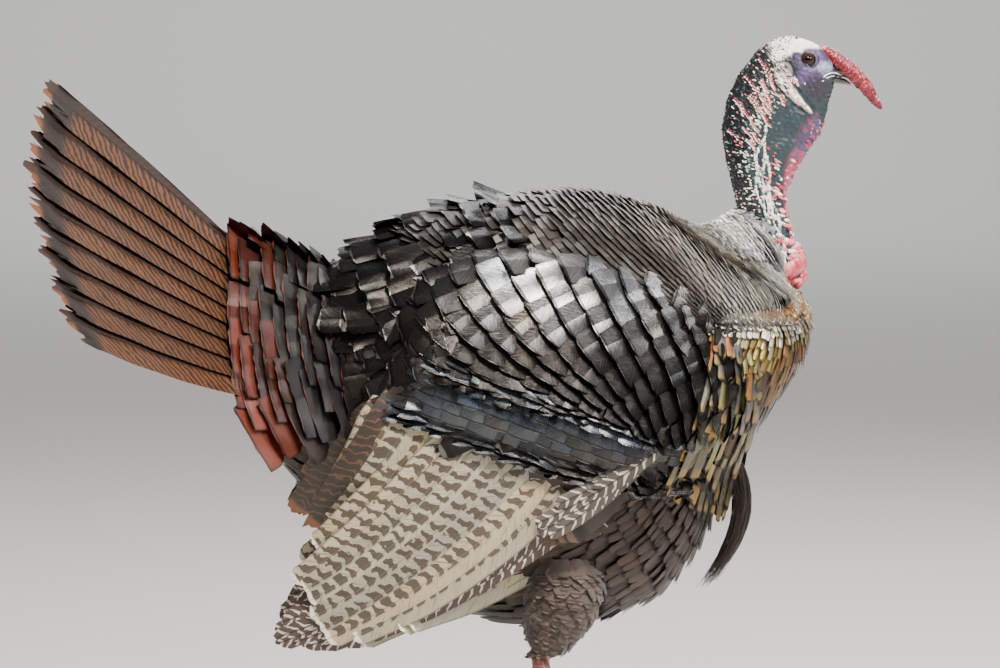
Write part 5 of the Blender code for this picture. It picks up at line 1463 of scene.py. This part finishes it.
# ---- beard: a hanging tuft of long wiry bristles
beard = {"route": [(0.2480, 0, 0.3900), (0.2640, 0, 0.3640), (0.2710, 0, 0.3300), (0.2640, 0, 0.2960),
                   (0.2490, 0, 0.2680), (0.2350, 0, 0.2480)],
         "bristles": 260, "rows": 16, "columns": 4, "radius": 0.00055, "colour": "#2a201b"}


def makeBeard():
    rng = np.random.default_rng(95)
    rows, columns, count = beard["rows"], beard["columns"], beard["bristles"]
    route = evenly(beard["route"], rows)
    angle, spread = rng.uniform(0, fullTurn, count), np.sqrt(rng.uniform(0, 1, count))
    t = np.linspace(0, 1, rows)
    girth = 0.0035 + 0.0062 * np.sin(np.clip(t * 1.15, 0, 1) * math.pi * 0.62)
    x, y = np.cos(angle) * spread, np.sin(angle) * spread
    length = rng.uniform(0.72, 1.0, count)
    heap = MeshHeap()
    for k in range(count):
        s = t * length[k]
        line = np.stack([np.interp(s, t, route[:, c]) for c in range(3)], -1)
        wave = 0.0009 * np.sin(s * rng.uniform(8, 16) + rng.uniform(0, 6))
        line = line + np.stack([x[k] * girth + wave, y[k] * girth - wave, x[k] * girth * 0.35], -1)
        grid = tubeGrid(line, beard["radius"] * (1 - 0.75 * t), columns)[0]
        heap.addTube(grid, linear(beard["colour"]) * rng.uniform(0.5, 1.6), 0.02 + 0.9 * (k / count), 0.02, 0.003,
                0.9)
    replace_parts(heap.piece("beard", clawHorn, "bristle"), "beard")


makeBeard()


# ---- legs: scutes in front, small scales behind, pads under the toes
def scaledTube(heap, line, radii, scutes, up, colour, cell, floor=None, columns=40):
    grid, out, turn = tubeGrid(line, radii, columns, up=up)
    t = np.linspace(0, 1, len(line))[:, None]
    # overlapping plates: each swells towards its lower edge and stops at a groove
    front = 0.5 + 0.5 * np.cos(turn)
    plate = np.mod(t * scutes + 0.10 * np.cos(turn) ** 2, 1.0)
    ridge = smoothstep(0, 0.75, plate) * smoothstep(1.0, 0.93, plate)
    small = np.abs(np.sin(t * scutes * math.pi * 1.7 + 2 * turn)) * np.abs(np.cos(turn * 5))
    lift = 0.0007 * ridge * smoothstep(0.25, 0.6, front) + 0.0006 * small * smoothstep(0.5, 0.2, front)
    grid = grid + out * lift[..., None]
    if floor is not None:
        grid[..., 2] = np.maximum(grid[..., 2], floor)
    heap.addTube(grid, over("#4e3733", colour, smoothstep(0.0, 0.5, lift / 0.0007)[..., None]), *cell)


def hornPoint(name, node, root, tip, bend, radii, colours, up=(0, 1, 0), floor=None):
    # a claw or a spur: a horn cone whose middle is lifted by bend, in a piece of its own
    t = np.linspace(0, 1, len(radii))
    line = root + (tip - root) * t[:, None] + np.stack([0 * t, 0 * t, bend * np.sin(t * math.pi)], -1)
    grid = tubeGrid(line, radii, 20, up=up)[0]
    if floor is not None:
        grid[..., 2] = np.maximum(grid[..., 2], floor)
    heap = MeshHeap()
    heap.addTube(grid, over(*colours, t[:, None, None]))
    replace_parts(heap.piece(name, clawHorn, "claw_horn"), node)


legs = {"hock": (0.078, 0.182), "ball": (0.091, 0.013), "hipY": 0.055, "tarsus": 0.0068, "tarsusRows": 150,
        "tarsusAt": (0, 0.03, 0.07, 0.16, 0.35, 0.6, 0.85, 1), "girth": (0.5, 1.1, 1.42, 1.10, 0.90, 0.90, 1.03, 1.1),
        "toeRows": 70, "toeAt": (0.0, 0.32, 0.44, 0.66, 0.80, 0.96, 1.0),
        "toeGirth": (1.10, 1.0, 0.86, 0.94, 0.80, 0.72, 0.45), "padUp": 0.0085, "clawRows": 24, "spurRows": 30,
        "spur": 0.026, "toes": (  # name, degrees outwards from ahead, length, radius, length of the claw
            ("middle", 4.0, 0.080, 0.0066, 0.015), ("outer", 34.0, 0.080 * 0.76, 0.0058, 0.015),
            ("inner", -30.0, 0.080 * 0.74, 0.0058, 0.015), ("hind", 176.0, 0.080 * 0.42, 0.0048, 0.0105))}
for side, sign in sideNames:
    y = sign * legs["hipY"]
    heap = MeshHeap()
    top = np.array([legs["hock"][0], y, legs["hock"][1] + 0.0065])
    low = np.array([legs["ball"][0] - 0.002, y, legs["ball"][1] + 0.0115])
    share = np.linspace(0, 1, legs["tarsusRows"])
    r = legs["tarsus"]
    radii = r * np.interp(share, legs["tarsusAt"], legs["girth"])
    radii = np.convolve(np.pad(radii, 6, mode="edge"), np.ones(13) / 13, mode="valid")
    scaledTube(heap, top + (low - top) * share[:, None], radii, 19, (0, 1, 0), "#a8705f", (0.02, 0.52, 0.96, 0.46))
    ball = np.array([legs["ball"][0], y, 0.0])
    middle = ball + (0, 0, legs["padUp"])
    pad = ballGrid(np.linspace(0.05, math.pi - 0.05, 20), 36) * (0.0126, 0.0116, 0.0146) + middle
    pad = pad + unit(pad - middle) * (0.0005 * softNoise(pad, 0.004, 98))[..., None]
    pad[..., 2] = np.maximum(pad[..., 2], 0.0)
    heap.addTube(pad, "#93604f", 0.02, 0.42, 0.3, 0.08)
    for k, (toe, angle, length, radius, size) in enumerate(legs["toes"]):
        heading = math.radians(angle * sign if abs(angle) < 90 else angle)
        ahead = np.array([math.cos(heading), math.sin(heading), 0.0])
        aside = (ahead[1], -ahead[0], 0.0)
        share = np.linspace(0, 1, legs["toeRows"])
        radii = radius * np.interp(share, legs["toeAt"], legs["toeGirth"])
        line = ball + ahead * (length * share)[:, None] + np.stack([0 * share, 0 * share, radii * 0.88], -1)
        scaledTube(heap, line, radii, int(length / 0.0042), aside, "#a06a58", (0.02 + 0.24 * k, 0.02, 0.22, 0.38),
                   floor=0.0, columns=32)
        t = np.linspace(0, 1, legs["clawRows"])
        hornPoint("claw" + toe.capitalize() + side.capitalize(), f"claw_{toe}_{side}", line[-3] + ahead * 0.0004,
                  ball + ahead * (length + size) + (0, 0, 0.0012), 0.0016, radius * 0.60 * (1 - t**1.6 * 0.93),
                  ("#5a4a42", "#2a2220"), up=aside, floor=0.0)
    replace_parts(heap.piece("leg" + side.capitalize(), legScales, "leg_scale"), "tarsus_" + side, "foot_" + side)
    # spur: the tom's horny back-curved point on the shank
    base, out = top + (low - top) * 0.66, legs["spur"]
    t = np.linspace(0, 1, legs["spurRows"])
    hornPoint("spur" + side.capitalize(), "spur_" + side, base + (-r * 0.60, -sign * r * 0.60, 0),
              base + (-r * 0.78 - out * 0.80, -sign * (r * 0.78 + out * 0.35), out * 0.30), -0.0022,
              0.0040 * (1 - 0.90 * t**0.8), ("#6d5a4c", "#2b221e"))
print("bill, snood, caruncles, eyes, beard and legs made")


# ---- floor, backdrop, lights and camera
def stage():
    material, tree, principled = newMaterial("paperFloor", {"Roughness": 0.9, "Specular IOR Level": 0.2})
    # plain pale paper, very slightly clouded
    noise = addNode(tree, "TexNoise", {"Scale": 3.0, "Detail": 2.0})
    tone = addNode(tree, "Mix", {0: noise.outputs["Fac"], 6: (*linear("#d9d7d2"), 1), 7: (*linear("#dedcd8"), 1)},
                   data_type="RGBA")
    tree.links.new(tone.outputs[2], principled.inputs["Base Color"])
    # a round floor that rises far out all the way round, so that no side is hidden
    flatRadius, bend = 9.0, 5.0
    rise = np.linspace(0, math.pi / 2, 48)
    radius = np.concatenate([np.linspace(0.01, flatRadius, 12)[:-1], flatRadius + bend * np.sin(rise)])
    height = np.concatenate([np.zeros(11), bend - bend * np.cos(rise)])
    turn = np.linspace(0, fullTurn, 96, endpoint=False)
    radius, height = radius[:, None], height[:, None]
    points = np.stack([radius * np.cos(turn), radius * np.sin(turn), height + 0 * turn], -1)
    mesh = bpy.data.meshes.new("paperFloor")
    mesh.from_pydata([tuple(p) for p in points.reshape(-1, 3)], [],
                     [tuple(q) for q in gridQuads(len(radius), 96, wrap=True)] + [tuple(range(95, -1, -1))])
    mesh.shade_smooth()
    mesh.materials.append(material)
    floor = bpy.data.objects.new("paperFloor", mesh)
    bpy.context.scene.collection.objects.link(floor)
    floor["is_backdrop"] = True


lights = (  # name, place, aim, size, watts, colour
    ("keyPanel", (0.35, -1.65, 2.7), (0.05, 0, 0.45), 0.5, 175, "#fff6ea"),
    ("fillPanel", (2.4, -2.2, 1.4), (0.05, 0, 0.45), 2.2, 8, "#eef3ff"),
    ("rimPanel", (0.6, 1.9, 2.4), (0.05, 0, 0.5), 1.0, 50, "#ffffff"),
    ("frontPanel", (2.1, -1.2, 1.9), (0.22, 0, 0.55), 0.8, 70, "#ffffff"),
    ("floorPanel", (0, 9.5, 4.5), (0, 9.5, 0), 4.0, 170, "#ffffff"))


def aimed(thing, place, target):
    thing.location = place
    thing.rotation_euler = (Vector(target) - Vector(place)).to_track_quat("-Z", "Y").to_euler()


def lightsAndCamera():
    for name, place, target, size, watts, colour in lights:
        data = bpy.data.lights.new(name, "AREA")
        data.size, data.energy, data.color = size, watts, linear(colour)
        lamp = bpy.data.objects.new(name, data)
        aimed(lamp, place, target)
        bpy.context.scene.collection.objects.link(lamp)
    world = bpy.data.worlds.new("softRoom")
    bpy.context.scene.world = world
    world.use_nodes = True
    background = world.node_tree.nodes["Background"]
    background.inputs["Color"].default_value = (*linear("#e6eaf0"), 1)
    background.inputs["Strength"].default_value = 0.38
    data = bpy.data.cameras.new("camera")
    data.lens, data.sensor_width, data.clip_end = 180, 36, 60
    camera = bpy.data.objects.new("camera", data)
    target = Vector((0.040, 0, 0.490))
    tilt = math.radians(5)
    aimed(camera, target + 4.75 * Vector((0, -math.cos(tilt), math.sin(tilt))), target)
    bpy.context.scene.collection.objects.link(camera)
    bpy.context.scene.camera = camera


stage()
lightsAndCamera()
size = {"cad": [list(v) for v in cadBox], "visual": [list(v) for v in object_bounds()]}
print("stage, lights and camera set")
